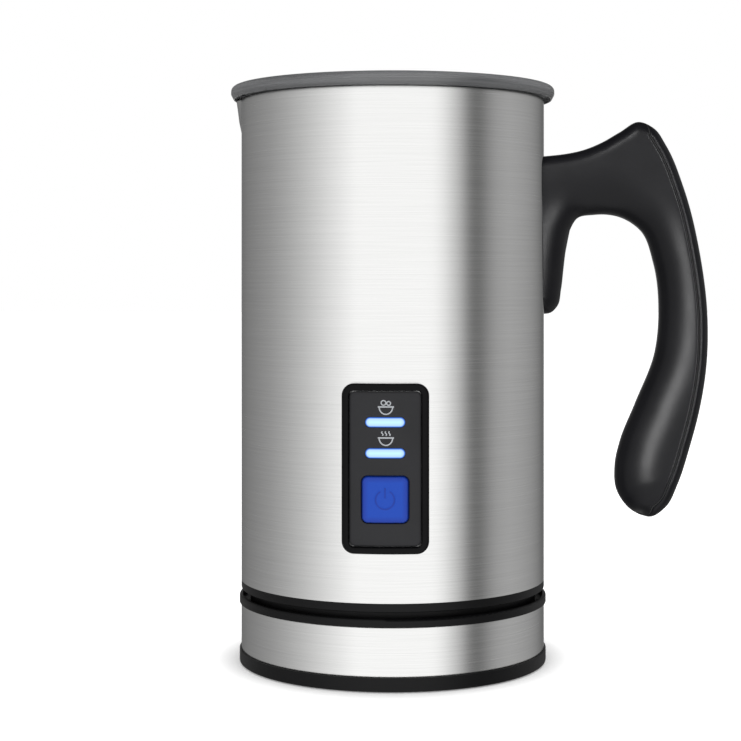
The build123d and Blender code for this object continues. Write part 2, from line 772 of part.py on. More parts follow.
button_hole = button_size + 2 * running_gap
with BuildPart() as panel_plate:
    plate_width = fascia_width - 2 * slip
    plate_height = fascia_height - 2 * slip
    plug_width = cutout_width - 2 * slip
    plug_height = cutout_height - 2 * slip
    add(
        front_plate(
            plate_width, plate_height, fascia_corner, panel_middle, jug_radius + seat_gap, fascia_radius
        )
    )
    add(
        front_plate(
            plug_width, plug_height, cutout_corner - slip, panel_middle, fascia_inside, jug_radius + 0.3
        )
    )
    for x, z in board_posts:
        rod((x, -board_face - seat_gap, z), (0, -1, 0), board_post_radius, fascia_inside - board_face)
        rod((x, -board_face, z), (0, -1, 0), 0.8 + seat_gap, 4.0, Mode.SUBTRACT)
    add(
        front_plate(
            button_hole, button_hole, button_corner + running_gap, button_z, board_face + 2, jug_radius + 5
        ),
        mode=Mode.SUBTRACT,
    )
    for level in window_levels:
        add(
            front_plate(
                window_width, window_height, window_height / 2 - 0.01, level, board_face + 2, jug_radius + 5
            ),
            mode=Mode.SUBTRACT,
        )
panel_plate.part.label = "panel_plate"


def window(level):
    """One pill-shaped window of the fascia, with its flange behind the fascia."""
    width = window_width - 2 * slip
    height = window_height - 2 * slip
    flange_outer = fascia_inside - seat_gap
    with BuildPart() as pane:
        add(front_plate(width, height, height / 2 - 0.01, level, flange_outer - 0.8, fascia_radius - 0.1))
        add(front_plate(width + 1.6, height + 1.4, 1.0, level, flange_outer - 0.8, flange_outer))
    return pane.part


with BuildPart() as window_warm:
    add(window(window_levels[0]))
window_warm.part.label = "window_warm"

with BuildPart() as window_froth:
    add(window(window_levels[1]))
window_froth.part.label = "window_froth"

flange_radius = fascia_inside - running_gap
flange_size = button_hole + 2 * button_flange
button_face = jug_radius + button_proud
with BuildPart() as power_button:
    add(front_plate(button_size, button_size, button_corner, button_z, flange_radius - 0.5, button_face))
    add(front_plate(flange_size, flange_size, button_corner, button_z, flange_radius - 1.0, flange_radius))
    with BuildSketch(Plane.XZ.offset(flange_radius / 2)) as power_symbol:
        with Locations((0, button_z)):
            Circle(symbol_radius + symbol_line / 2)
            Circle(symbol_radius - symbol_line / 2, mode=Mode.SUBTRACT)
        with Locations((0, button_z + symbol_radius)):
            Rectangle(3 * symbol_line, 2.4 * symbol_line, mode=Mode.SUBTRACT)
        with Locations((0, button_z + symbol_radius - 0.4)):
            RectangleRounded(symbol_line, 3.2, symbol_line / 2 - 0.01)
    add(wrapped(power_symbol.sketch, button_face - 0.3, button_face + 0.15, button_z - 5, button_z + 5))
power_button.part.label = "power_button"

switch_height = 2.0
switch_dome = 0.2
plunger_end = board_face + switch_height + switch_dome + button_travel + 0.1
with BuildPart() as switch_plunger:
    plunger_length = flange_radius - 1.0 - plunger_end - seat_gap
    rod((0, -plunger_end, button_z), (0, -1, 0), 2.0, plunger_length)
switch_plunger.part.label = "switch_plunger"

with BuildPart() as control_board:
    with Locations((0, -board_face + board_thickness / 2, panel_middle)):
        Box(board_width, board_thickness, board_height)
    for x, z in board_posts:
        rod((x, -board_face - 1, z), (0, 1, 0), 0.8 + slip, 5, Mode.SUBTRACT)
control_board.part.label = "control_board"

with BuildPart() as tact_switch:
    with Locations((0, -board_face - seat_gap - switch_height / 2, button_z)):
        Box(6.0, switch_height, 6.0)
    rod((0, -board_face - switch_height, button_z), (0, -1, 0), 1.4, switch_dome)
tact_switch.part.label = "tact_switch"

with BuildPart() as indicator_leds:
    for level in window_levels:
        for x in (-3.0, 3.0):
            with Locations((x, -board_face - seat_gap - 0.8, level)):
                Box(2.8, 1.6, 2.0)
indicator_leds.part.label = "indicator_leds"

with BuildPart() as board_screws:
    for x, z in board_posts:
        screw((x, -board_back + screw_head_height, z), (0, -1, 0), board_thickness + 3.0, 0.8, 1.5)
board_screws.part.label = "board_screws"

# ---- Lid -------------------------------------------------------------------------------------
plug_inside = plug_radius - plug_wall
lip_inside = lid_radius - lid_lip_width
with BuildPart() as lid:
    tube(lid_radius, 0, lid_lip_low, lid_top)
    fillet(lid.edges().group_by(Axis.Z)[-1], lid_upper_edge)
    fillet(lid.edges().group_by(Axis.Z)[0], lid_lower_edge)
    tube(lip_inside, 0, lid_lip_low, lid_low, Mode.SUBTRACT)
    tube(plug_radius, plug_inside, plug_low, lid_low)
    tube(seal_inside + 0.9, plug_inside, plug_low, plug_low + 0.9)
    tube(lid_radius - 9.0, 0, lid_top - 0.6, lid_top, Mode.SUBTRACT)
lid.part.label = "lid"

seal_low = plug_low + 0.9 + seat_gap
with BuildPart() as lid_seal:
    tube(seal_inside + 0.7, seal_inside, seal_low, seal_low + seal_height)
    for rise in (0.0, seal_height / 2 - 0.4, seal_height - 0.8):
        tube(seal_radius, seal_inside + 0.5, seal_low + rise, seal_low + rise + 0.8)
lid_seal.part.label = "lid_seal"

# ---- Whisk -----------------------------------------------------------------------------------
with BuildPart() as whisk_bush:
    tube(bush_radius, 0, bush_low, bush_top)
    fillet(whisk_bush.edges().group_by(Axis.Z)[-1], 0.5)
    tube(spindle_radius + shaft_gap, 0, bush_low, spindle_top + running_gap, Mode.SUBTRACT)
whisk_bush.part.label = "whisk_bush"

coil_groove = whisk_coil_radius + seat_gap
whisk_magnet_points = [on_circle(whisk_magnet_circle, angle) for angle in (0, 180)]
with BuildPart() as whisk_hub:
    tube(hub_radius, 0, whisk_low, bush_top)
    tube(3.6, 0, bush_top, hub_top)
    fillet(whisk_hub.edges().group_by(Axis.Z)[-1], 1.5)
    tube(whisk_disc_radius, 0, disc_low, disc_top)
    with Locations((0, 0, coil_z)):
        Torus(whisk_coil_circle, coil_groove, mode=Mode.SUBTRACT)
    tube(bush_radius + shaft_gap, 0, whisk_low, bush_top + running_gap, Mode.SUBTRACT)
    for x, y in whisk_magnet_points:
        post(x, y, whisk_magnet_radius + seat_gap, disc_low, disc_low + 1.9, Mode.SUBTRACT)
whisk_hub.part.label = "whisk_hub"

with BuildPart() as whisk_magnets:
    for x, y in whisk_magnet_points:
        post(x, y, whisk_magnet_radius, disc_low + 0.1, disc_low + 1.85)
whisk_magnets.part.label = "whisk_magnets"

with BuildPart() as whisk_coil:
    with Locations((0, 0, coil_z)):
        Torus(whisk_coil_circle, whisk_coil_radius)
whisk_coil.part.label = "whisk_coil"

# ---- One STEP file for each piece --------------------------------------------------------------
export_step(foot_ring.part, "parts/foot_ring.step")
export_step(base_bottom.part, "parts/base_bottom.step")
export_step(base_band.part, "parts/base_band.step")
export_step(base_top.part, "parts/base_top.step")
export_step(base_connector.part, "parts/base_connector.step")
export_step(base_contacts.part, "parts/base_contacts.step")
export_step(base_screws.part, "parts/base_screws.step")
export_step(cord_gland.part, "parts/cord_gland.step")
export_step(jug_connector.part, "parts/jug_connector.step")
export_step(jug_contacts.part, "parts/jug_contacts.step")
export_step(bottom_cover.part, "parts/bottom_cover.step")
export_step(bottom_screws.part, "parts/bottom_screws.step")
export_step(chassis.part, "parts/chassis.step")
export_step(motor_bracket.part, "parts/motor_bracket.step")
export_step(motor_can.part, "parts/motor_can.step")
export_step(motor_screws.part, "parts/motor_screws.step")
export_step(motor_shaft.part, "parts/motor_shaft.step")
export_step(magnet_carrier.part, "parts/magnet_carrier.step")
export_step(drive_magnets.part, "parts/drive_magnets.step")
export_step(heat_plate.part, "parts/heat_plate.step")
export_step(heater_element.part, "parts/heater_element.step")
export_step(thermostat.part, "parts/thermostat.step")
export_step(thermal_fuse.part, "parts/thermal_fuse.step")
export_step(power_board.part, "parts/power_board.step")
export_step(board_components.part, "parts/board_components.step")
export_step(power_board_screws.part, "parts/power_board_screws.step")
export_step(outer_shell.part, "parts/outer_shell.step")
export_step(inner_vessel.part, "parts/inner_vessel.step")
export_step(spindle_pin.part, "parts/spindle_pin.step")
export_step(handle_back.part, "parts/handle_back.step")
export_step(handle_grip.part, "parts/handle_grip.step")
export_step(handle_bracket.part, "parts/handle_bracket.step")
export_step(handle_screws.part, "parts/handle_screws.step")
export_step(panel_bezel.part, "parts/panel_bezel.step")
export_step(panel_plate.part, "parts/panel_plate.step")
export_step(window_warm.part, "parts/window_warm.step")
export_step(window_froth.part, "parts/window_froth.step")
export_step(power_button.part, "parts/power_button.step")
export_step(switch_plunger.part, "parts/switch_plunger.step")
export_step(control_board.part, "parts/control_board.step")
export_step(tact_switch.part, "parts/tact_switch.step")
export_step(indicator_leds.part, "parts/indicator_leds.step")
export_step(board_screws.part, "parts/board_screws.step")
export_step(lid.part, "parts/lid.step")
export_step(lid_seal.part, "parts/lid_seal.step")
export_step(whisk_bush.part, "parts/whisk_bush.step")
export_step(whisk_hub.part, "parts/whisk_hub.step")
export_step(whisk_magnets.part, "parts/whisk_magnets.step")
export_step(whisk_coil.part, "parts/whisk_coil.step")
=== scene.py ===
"""Looks of an electric milk frother: a steel jug with a handle and a lit control panel, on a power base.

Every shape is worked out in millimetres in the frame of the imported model: the origin is on the jug's
axis where the base stands, +Z is up, the handle points to +X, the panel to -Y and the spout to -X.
"""

from math import cos, pi, radians, sin

import bmesh
import bpy
import numpy as np

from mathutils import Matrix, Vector


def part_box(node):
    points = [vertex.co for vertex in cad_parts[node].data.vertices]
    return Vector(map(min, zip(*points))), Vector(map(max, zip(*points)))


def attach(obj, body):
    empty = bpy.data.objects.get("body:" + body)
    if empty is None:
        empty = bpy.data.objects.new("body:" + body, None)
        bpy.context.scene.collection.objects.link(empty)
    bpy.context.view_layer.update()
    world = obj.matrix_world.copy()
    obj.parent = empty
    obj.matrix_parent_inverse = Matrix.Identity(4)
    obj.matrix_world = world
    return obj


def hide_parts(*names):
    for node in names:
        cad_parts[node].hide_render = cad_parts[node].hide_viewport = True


bl_info = {
    "name": "Milk frother",
    "version": (1, 0, 0),
    "blender": (4, 5, 0),
    "location": "3D View > Sidebar > Frother",
    "description": "Builds the visible pieces and finishes of a milk frother on its packed model",
    "category": "Object",
}

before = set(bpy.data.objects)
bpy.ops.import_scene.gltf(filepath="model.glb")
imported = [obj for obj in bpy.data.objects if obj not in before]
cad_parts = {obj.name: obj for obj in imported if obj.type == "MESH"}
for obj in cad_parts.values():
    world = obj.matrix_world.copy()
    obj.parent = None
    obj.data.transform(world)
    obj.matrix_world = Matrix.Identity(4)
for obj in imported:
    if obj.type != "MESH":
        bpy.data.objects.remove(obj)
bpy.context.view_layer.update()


def span(node):
    """Lowest and highest corner of a node of the frame, in millimetres."""
    low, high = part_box(node)
    return np.array(low) * 1000, np.array(high) * 1000


def middle_height(node):
    """Height of the middle of a node's box, in millimetres."""
    low, high = span(node)
    return (low[2] + high[2]) / 2


jug_radius = span("base_band")[1][0]
jacket_low, jacket_top = span("outer_shell")[0][2], span("outer_shell")[1][2]
lid_radius, lid_top = span("lid")[1][0], span("lid")[1][2]
vessel_top = span("inner_vessel")[1][2]
bezel_low, bezel_high = span("panel_bezel")
plate_low, plate_high = span("panel_plate")
panel_middle, button_middle = middle_height("panel_bezel"), middle_height("power_button")
window_middles = {name: middle_height(name) for name in ("window_warm", "window_froth")}

# Height of the lid's rim, and how far below the jacket's top the handle's top edge meets it
lid_rim, handle_drop = 4.3, 20.2


# ---- Properties ----------------------------------------------------------------------------


def linear(code):
    """The linear colour of an sRGB hex value such as #4a4a4c."""
    parts = np.array([int(code[i : i + 2], 16) for i in (1, 3, 5)]) / 255
    parts = np.where(parts <= 0.04045, parts / 12.92, ((parts + 0.055) / 1.055) ** 2.4)
    return tuple(float(v) for v in parts)


def length(name, description, millimetres):
    """A size property, kept in metres."""
    return bpy.props.FloatProperty(
        name=name, description=description, default=millimetres / 1000, min=0, precision=5, unit="LENGTH"
    )


def colour(name, description, code):
    """A colour property whose default is an sRGB hex value."""
    return bpy.props.FloatVectorProperty(
        name=name, description=description, default=linear(code), size=3, min=0, max=1, subtype="COLOR"
    )


class FrotherSizes(bpy.types.PropertyGroup):
    """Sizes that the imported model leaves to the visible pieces."""

    steel_wall: length("Steel wall", "Thickness of the jacket's sheet", 0.5)
    shoulder: length("Shoulder", "Radius of the jacket's rounded top edge", 1.8)
    spout_reach: length("Spout reach", "How far the spout stands beyond the jacket at the top", 2.3)
    spout_radius: length("Spout radius", "Radius of the spout's round section at the top", 11.0)
    spout_foot_radius: length("Spout foot radius", "Radius of the spout's round section at its foot", 6.0)
    spout_height: length("Spout height", "How far below the jacket's top the spout starts", 14.0)
    handle_width: length("Handle width", "Width of the handle across the jug", 22.0)
    handle_edge: length("Handle edge", "Rounding of the handle's outer edges", 4.6)
    handle_inner_edge: length("Handle inner edge", "Rounding of the edges that the fingers close on", 16.0)
    handle_strip: length("Handle strip", "Thickness of the strip on the handle's back", 3.3)
    handle_seam: length("Handle seam", "Gap between the handle and the strip on its back", 0.22)
    bezel_width: length("Bezel width", "Width of the raised frame round the panel", 2.3)
    bezel_edge: length("Bezel edge", "Rounding of the frame's edges", 0.7)
    button_size: length("Button size", "Side of the rounded square button", 14.3)
    button_corner: length("Button corner", "Radius of the button's corners", 1.8)
    symbol_radius: length("Symbol radius", "Radius of the power symbol's ring", 2.9)
    symbol_line: length("Symbol line", "Width of the power symbol's line", 0.7)
    brush_line: length("Brush line", "Spacing of the brush lines in the steel", 0.32)
    coil_wire: length("Coil wire", "Thickness of the whisk's spring wire", 0.62)


class FrotherColours(bpy.types.PropertyGroup):
    """Colours of the frother's finishes, and the strength of its lights."""

    steel: colour("Steel", "Brushed stainless steel", "#d3d3d2")
    black: colour("Black ABS", "Base and rings", "#0a0a0b")
    handle: colour("Handle", "Satin handle plastic", "#08080a")
    bezel: colour("Bezel", "Gloss frame of the panel", "#060607")
    fascia: colour("Fascia", "Charcoal plate of the panel", "#232325")
    button: colour("Button", "Blue translucent button", "#042670")
    lid: colour("Lid", "Smoke tint of the lid", "#8b8c8e")
    glow: colour("Glow", "Light of the panel's windows", "#cdfbfb")
    window_light: bpy.props.FloatProperty(
        name="Window light", description="Brightness of the lit windows", default=0.95, min=0
    )
    button_light: bpy.props.FloatProperty(
        name="Button light", description="Brightness of the lit button", default=0.44, min=0
    )


# ---- Shapes --------------------------------------------------------------------------------


def grid(rows, columns, wrap_rows=False, wrap_columns=False):
    """Quads over a grid of points: each joins a point to its neighbours along the row and the column."""
    index = np.arange(rows * columns).reshape(rows, columns)
    if wrap_rows:
        index = np.vstack([index, index[:1]])
    if wrap_columns:
        index = np.hstack([index, index[:, :1]])
    return np.stack([index[:-1, :-1], index[:-1, 1:], index[1:, 1:], index[1:, :-1]], -1).reshape(-1, 4)


def joined(*shapes):
    """Several shapes as one: each shape's faces count on from the points of those before it."""
    starts = np.cumsum([0] + [len(points) for points, _ in shapes[:-1]])
    return (
        np.vstack([points for points, _ in shapes]),
        np.vstack([faces + start for (_, faces), start in zip(shapes, starts)]),
    )


def rounded(corners, radii, steps=7):
    """A closed line of corners with round ones: between the points where an arc of the radius touches the two
    sides, the arc is the conic (1-t)^2 A + 2wt(1-t) C + t^2 B, divided by the sum of its weights, with w
    the sine of half the corner's angle."""
    corners = np.asarray(corners, float)
    radii = np.broadcast_to(np.asarray(radii, float), len(corners))[:, None]
    back = np.roll(corners, 1, 0) - corners
    on = np.roll(corners, -1, 0) - corners
    back, on = (side / np.maximum(np.linalg.norm(side, axis=1, keepdims=True), 1e-9) for side in (back, on))
    half = np.arccos(np.clip((back * on).sum(1, keepdims=True), -1, 1)) / 2
    reach = radii / np.maximum(np.tan(half), 1e-6)
    weight = np.sin(half)[:, None]
    t = np.linspace(0, 1, steps)[None, :, None]
    first, last = (corners + side * reach for side in (back, on))
    parts = (1 - t) ** 2, 2 * weight * t * (1 - t), t**2
    line = (parts[0] * first[:, None] + parts[1] * corners[:, None] + parts[2] * last[:, None]) / sum(parts)
    line = line.reshape(-1, 2)
    return line[np.linalg.norm(line - np.roll(line, 1, 0), axis=1) > 1e-6]


def line_through(points, steps):
    """A smooth line through points: between two of them it is the cubic that leaves and arrives along
    slopes, and the slope at a point is that of its two neighbouring chords, weighed by their lengths."""
    points = np.asarray(points, float)
    chord = np.diff(points, axis=0)
    far = np.linalg.norm(chord, axis=1)[:, None]
    inner = (chord[:-1] / far[:-1] * far[1:] + chord[1:] / far[1:] * far[:-1]) / (far[:-1] + far[1:])
    first = 1.5 * chord[:1] / far[0] - 0.5 * inner[:1]
    last = 1.5 * chord[-1:] / far[-1] - 0.5 * inner[-1:]
    slope = np.vstack([first, inner, last])
    t = np.linspace(0, 1, steps, endpoint=False)[None, :, None]
    start, end = points[:-1, None], points[1:, None]
    leave, arrive = (slope[:-1] * far)[:, None], (slope[1:] * far)[:, None]
    line = (
        start * (2 * t**3 - 3 * t**2 + 1)
        + leave * (t**3 - 2 * t**2 + t)
        + end * (3 * t**2 - 2 * t**3)
        + arrive * (t**3 - t**2)
    )
    return np.vstack([line.reshape(-1, points.shape[1]), points[-1:]])


def about_axis(radius, angle, height):
    """Points about the jug's axis: x = r cos a, y = r sin a, z = h."""
    return np.stack([radius * np.cos(angle), radius * np.sin(angle), height + 0 * angle], -1)


def turned(profile, turns=192):
    """A closed line of radius and height turned about the jug's axis."""
    angle = np.linspace(0, 2 * pi, turns, endpoint=False)
    points = about_axis(profile[:, :1], angle, profile[:, 1:])
    return points.reshape(-1, 3), grid(len(profile), turns, True, True)


def walled(front, back, keep=None, wrap=False):
    """Two skins over one grid of cells. A rim closes them along each cell edge with a kept cell on one
    side and none on the other."""
    rows, columns = front.shape[:2]
    index = np.arange(rows * columns).reshape(rows, columns)
    here = index if wrap else index[:, :-1]
    after = np.roll(index, -1, 1) if wrap else index[:, 1:]
    if keep is None:
        keep = np.ones((rows - 1, here.shape[1]), bool)
    shift = rows * columns
    cells = np.stack([here[:-1], after[:-1], after[1:], here[1:]], -1)[keep]
    tall = np.pad(keep, ((1, 1), (0, 0)))
    level = tall[1:] != tall[:-1]
    wide = np.hstack([keep[:, -1:], keep]) if wrap else np.pad(keep, ((0, 0), (1, 1)))
    upright = wide[:, 1:] != wide[:, :-1]
    starts = np.concatenate([here[level], index[:-1, : upright.shape[1]][upright]])
    ends = np.concatenate([after[level], index[1:, : upright.shape[1]][upright]])
    rim = np.stack([starts, ends, ends + shift, starts + shift], -1)
    points = np.concatenate([front.reshape(-1, 3), back.reshape(-1, 3)])
    return points, np.concatenate([cells, cells[:, ::-1] + shift, rim])


def stations(marks, spacing):
    """Grid lines through every mark. Between two marks they crowd towards both, as (1 - cos t) / 2."""
    marks = sorted(set(round(float(mark), 5) for mark in marks))
    lines = [
        low + (high - low) * (1 - np.cos(np.linspace(0, pi, max(2, round((high - low) / spacing) + 1)))) / 2
        for low, high in zip(marks, marks[1:])
    ]
    return np.concatenate([line[:-1] for line in lines] + [[marks[-1]]])


def round_corners(across, up, shape):
    """Moves grid points so that a rectangle's corners turn round. In a corner's own square, the point's
    distance along the longer side becomes its distance from the arc's centre, and this fades out over
    one more radius."""
    middle_x, middle_z, half_x, half_z, corner = shape
    dx, dz = across - middle_x, up - middle_z
    qx, qz = np.abs(dx) - (half_x - corner), np.abs(dz) - (half_z - corner)
    near = (qx > 0) & (qz > 0)
    longer = np.maximum(qx, qz)
    share = np.where(near, np.clip(2 - longer / corner, 0, 1), 0)
    pull = 1 + share * (longer / np.maximum(np.hypot(qx, qz), 1e-9) - 1)
    return (
        np.where(near, middle_x + np.sign(dx) * (half_x - corner + qx * pull), across),
        np.where(near, middle_z + np.sign(dz) * (half_z - corner + qz * pull), up),
    )


def depth_inside(across, up, shape):
    """How far a point is inside a rectangle with round corners, and minus the distance when outside."""
    middle_x, middle_z, half_x, half_z, corner = shape
    qx = np.abs(across - middle_x) - (half_x - corner)
    qz = np.abs(up - middle_z) - (half_z - corner)
    outside = np.hypot(np.maximum(qx, 0), np.maximum(qz, 0))
    return corner - outside - np.minimum(np.maximum(qx, qz), 0)


def on_jug(across, up, radius):
    """Points of the panel laid on a cylinder about the jug's axis: y = -sqrt(r^2 - x^2)."""
    across, up, radius = np.broadcast_arrays(across, up, radius)
    return np.stack([across, -np.sqrt(radius**2 - across**2), up], -1)


def edge_drop(depth, size):
    """How far a rounded edge falls below its face: size - sqrt(size^2 - (size - depth)^2)."""
    left = np.clip(size - depth, 0, size)
    return size - np.sqrt(np.maximum(size**2 - left**2, 0))


def panel_plate(shape, holes, face, back, edge, spacing, relief=None):
    """A plate that follows the jug: a grid of cells without those in the holes, whose front lies at the
    radius face, less the rounding near its outline and its holes, plus relief, and whose rear is at back."""
    marks = []
    for way in (0, 1):
        middle, half, corner = shape[way], shape[way + 2], shape[4]
        ends = [middle - half, middle + half, middle - half + corner, middle + half - corner]
        ends += [hole[way] + side * hole[way + 2] for hole in holes for side in (-1, 1)]
        marks.append(stations(ends, spacing))
    x, z = marks
    across, up = np.meshgrid(x, z)
    centre_x, centre_z = np.meshgrid((x[1:] + x[:-1]) / 2, (z[1:] + z[:-1]) / 2)
    keep = np.ones(centre_x.shape, bool)
    for hole in holes:
        keep &= (np.abs(centre_x - hole[0]) > hole[2]) | (np.abs(centre_z - hole[1]) > hole[3])
    for part in [shape, *holes]:
        across, up = round_corners(across, up, part)
    depth = depth_inside(across, up, shape)
    for hole in holes:
        depth = np.minimum(depth, -depth_inside(across, up, hole))
    front = face - edge_drop(depth, edge)
    if relief is not None:
        front = front + relief(across, up)
    points, faces = walled(on_jug(across, up, front), on_jug(across, up, back), keep)
    return points, faces, np.concatenate([depth.ravel(), depth.ravel()])


def outline(half_x, half_z, corner, arc_steps=10, side_steps=24):
    """A rectangle with round corners as points and outward directions: four quarter circles, with the
    straight sides divided evenly between them."""
    angle = np.linspace(0, pi / 2, arc_steps) + np.arange(4)[:, None] * pi / 2
    normal = np.stack([np.cos(angle), np.sin(angle)], -1)
    signs = np.array([(1, 1), (-1, 1), (-1, -1), (1, -1)])[:, None]
    arc = signs * np.array([half_x - corner, half_z - corner]) + corner * normal
    after = np.roll(arc, -1, 0)[:, :1]
    t = np.linspace(0, 1, side_steps + 1)[1:-1, None]
    side = arc[:, -1:] + (after - arc[:, -1:]) * t
    facing = np.repeat(normal[:, -1:], side_steps - 1, 1)
    return np.hstack([arc, side]).reshape(-1, 2), np.hstack([normal, facing]).reshape(-1, 2)


def ribbon(line, width, low, high, middle, closed=False):
    """A raised line on the panel: the line moved half its width to each side, between two radii."""
    line = np.asarray(line, float)
    if closed:
        heading = np.roll(line, -1, 0) - np.roll(line, 1, 0)
    else:
        heading = np.gradient(line, axis=0)
    heading /= np.linalg.norm(heading, axis=1, keepdims=True)
    side = np.stack([-heading[:, 1], heading[:, 0]], -1) * width / 2
    edges = np.stack([line - side, line - side / 3, line + side / 3, line + side]) + np.array(middle)
    top = np.array([high - 0.02, high, high, high - 0.02])[:, None]
    front = on_jug(edges[..., 0], edges[..., 1], top)
    return walled(front, on_jug(edges[..., 0], edges[..., 1], low), wrap=closed)


def spouted(angle, radius, height, inset, sizes):
    """Radius of a round wall with a spout: the larger of the wall's own radius and the far point where
    the ray leaves the spout's circle, with the corner between them filled by a parabola. The circle
    grows and moves out with height."""
    tall, low, high = (v * 1000 for v in (sizes.spout_height, sizes.spout_foot_radius, sizes.spout_radius))
    rise = (height - jacket_top + tall) / tall
    circle = low + rise * (high - low) - inset
    centre = jug_radius - low + rise * (sizes.spout_reach * 1000 + low - high)
    under = circle**2 - (centre * np.sin(angle)) ** 2
    facing = -np.cos(angle) * centre
    reach = np.where((under > 0) & (facing > 0), facing + np.sqrt(np.maximum(under, 0)), 0)
    reach = np.where(rise > 0, reach, 0)
    apart, blend = reach - radius, 2.4 * np.clip(rise * 2.5, 0.05, 1)
    filled = np.where(apart < -blend, 0, (apart + blend) ** 2 / (4 * blend))
    return radius + np.where(apart > blend, apart, filled)


def distance_to_line(points, line):
    """Distance from each point to a line of short straight runs: the nearest of the runs' own nearest
    points, which are where the point projects on the run, held between its ends."""
    start, run = line[:-1], np.diff(line, axis=0)
    to = points[:, None] - start[None]
    along = np.clip((to * run).sum(-1) / np.maximum((run**2).sum(-1), 1e-12), 0, 1)
    return np.linalg.norm(to - along[..., None] * run, axis=-1).min(1)


# ---- Pieces --------------------------------------------------------------------------------


def make_piece(name, shape, body, slot, nodes=(), crease=35, depth=None, finish=None):
    """Puts a shape of points in millimetres and quads into a new piece, closes its seams and poles,
    turns its faces outwards, and marks the edges that bend more than crease degrees as sharp. The depth
    of each point is kept for its finish, which is the slot's own unless another is named."""
    points, faces = shape
    mesh = bpy.data.meshes.new(name)
    mesh.vertices.add(len(points))
    mesh.vertices.foreach_set("co", (points / 1000).astype(np.float32).ravel())
    mesh.loops.add(faces.size)
    mesh.loops.foreach_set("vertex_index", faces.astype(np.int32).ravel())
    mesh.polygons.add(len(faces))
    mesh.polygons.foreach_set("loop_start", np.arange(0, faces.size, 4, dtype=np.int32))
    mesh.update(calc_edges=True)
    if depth is not None:
        mesh.attributes.new("depth", "FLOAT", "POINT").data.foreach_set("value", depth.astype(np.float32))
    work = bmesh.new()
    work.from_mesh(mesh)
    bmesh.ops.remove_doubles(work, verts=work.verts, dist=2e-7)
    bmesh.ops.dissolve_degenerate(work, edges=work.edges, dist=1e-7)
    bmesh.ops.recalc_face_normals(work, faces=work.faces)
    work.to_mesh(mesh)
    work.free()
    mesh.shade_smooth()
    mesh.set_sharp_from_angle(angle=radians(crease))
    mesh.materials.append(finishes[finish or slot])
    piece = bpy.data.objects.new(name, mesh)
    bpy.context.scene.collection.objects.link(piece)
    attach(piece, body)
    if nodes:
        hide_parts(*nodes)
    return piece


# ---- Finishes ------------------------------------------------------------------------------


def add(tree, kind, inputs=None, **settings):
    """Adds one node, gives it its settings, and sets each input or links it to an output."""
    made = tree.nodes.new("ShaderNode" + kind)
    for key, value in settings.items():
        setattr(made, key, value)
    for key, value in (inputs or {}).items():
        if isinstance(value, bpy.types.NodeSocket):
            tree.links.new(value, made.inputs[key])
        else:
            made.inputs[key].default_value = value
    return made


def finish_start(name, base, roughness, **sockets):
    """A new material with a Principled shader, whose constants stand on the shader's own sockets."""
    finish = bpy.data.materials.new(name)
    finish.use_nodes = True
    tree = finish.node_tree
    tree.nodes.clear()
    shader = add(tree, "BsdfPrincipled", {"Base Color": (*base, 1), "Roughness": roughness})
    for key, value in sockets.items():
        shader.inputs[key.replace("_", " ")].default_value = value
    add(tree, "OutputMaterial", {"Surface": shader.outputs[0]})
    place = add(tree, "TexCoord").outputs["Object"]
    return finish, tree, shader, place


def surfaced(tree, shader, base, tints, cloud, roughness, sheens, gloss, height, depth, spread=(0.3, 0.7)):
    """Works noise into a surface: cloud shades the base colour between two strengths, gloss spreads the
    roughness between two shares of itself, and height raises the surface by a depth in millimetres."""
    dark, pale = ((*(min(part * strength, 1) for part in base), 1) for strength in tints)
    share = add(tree, "MapRange", {"Value": cloud, "From Min": 0.3, "From Max": 0.7})
    tint = add(tree, "Mix", {0: share.outputs[0], 6: dark, 7: pale}, data_type="RGBA")
    ends = {"From Min": spread[0], "From Max": spread[1]}
    ends |= {"To Min": roughness * sheens[0], "To Max": roughness * sheens[1]}
    rough = add(tree, "MapRange", {"Value": gloss, **ends})
    bump = add(tree, "Bump", {"Height": height, "Strength": 1.0, "Distance": depth / 1000})
    worked = {"Base Color": tint.outputs[2], "Roughness": rough.outputs[0], "Normal": bump.outputs[0]}
    for key, output in worked.items():
        tree.links.new(output, shader.inputs[key])


def moulded(name, base, roughness, grain, depth, mottle=0.12, **sockets):
    """Moulded plastic: an eroded mould leaves fine grain of the given size and depth in millimetres,
    gloss varies slightly from place to place, and the tint clouds a little over some 14 mm."""
    finish, tree, shader, place = finish_start(name, base, roughness, **sockets)
    fine = add(tree, "TexNoise", {"Vector": place, "Scale": 1000 / grain, "Detail": 3.0}).outputs["Fac"]
    broad = add(tree, "TexNoise", {"Vector": place, "Scale": 1000 / 14, "Detail": 2.0}).outputs["Fac"]
    both = add(tree, "Math", {0: broad, 1: fine}, operation="ADD").outputs[0]
    tints, sheens = (1 - mottle, 1 + mottle), (0.88, 1.12)
    surfaced(tree, shader, base, tints, broad, roughness, sheens, both, fine, depth, spread=(0.7, 1.3))
    return finish


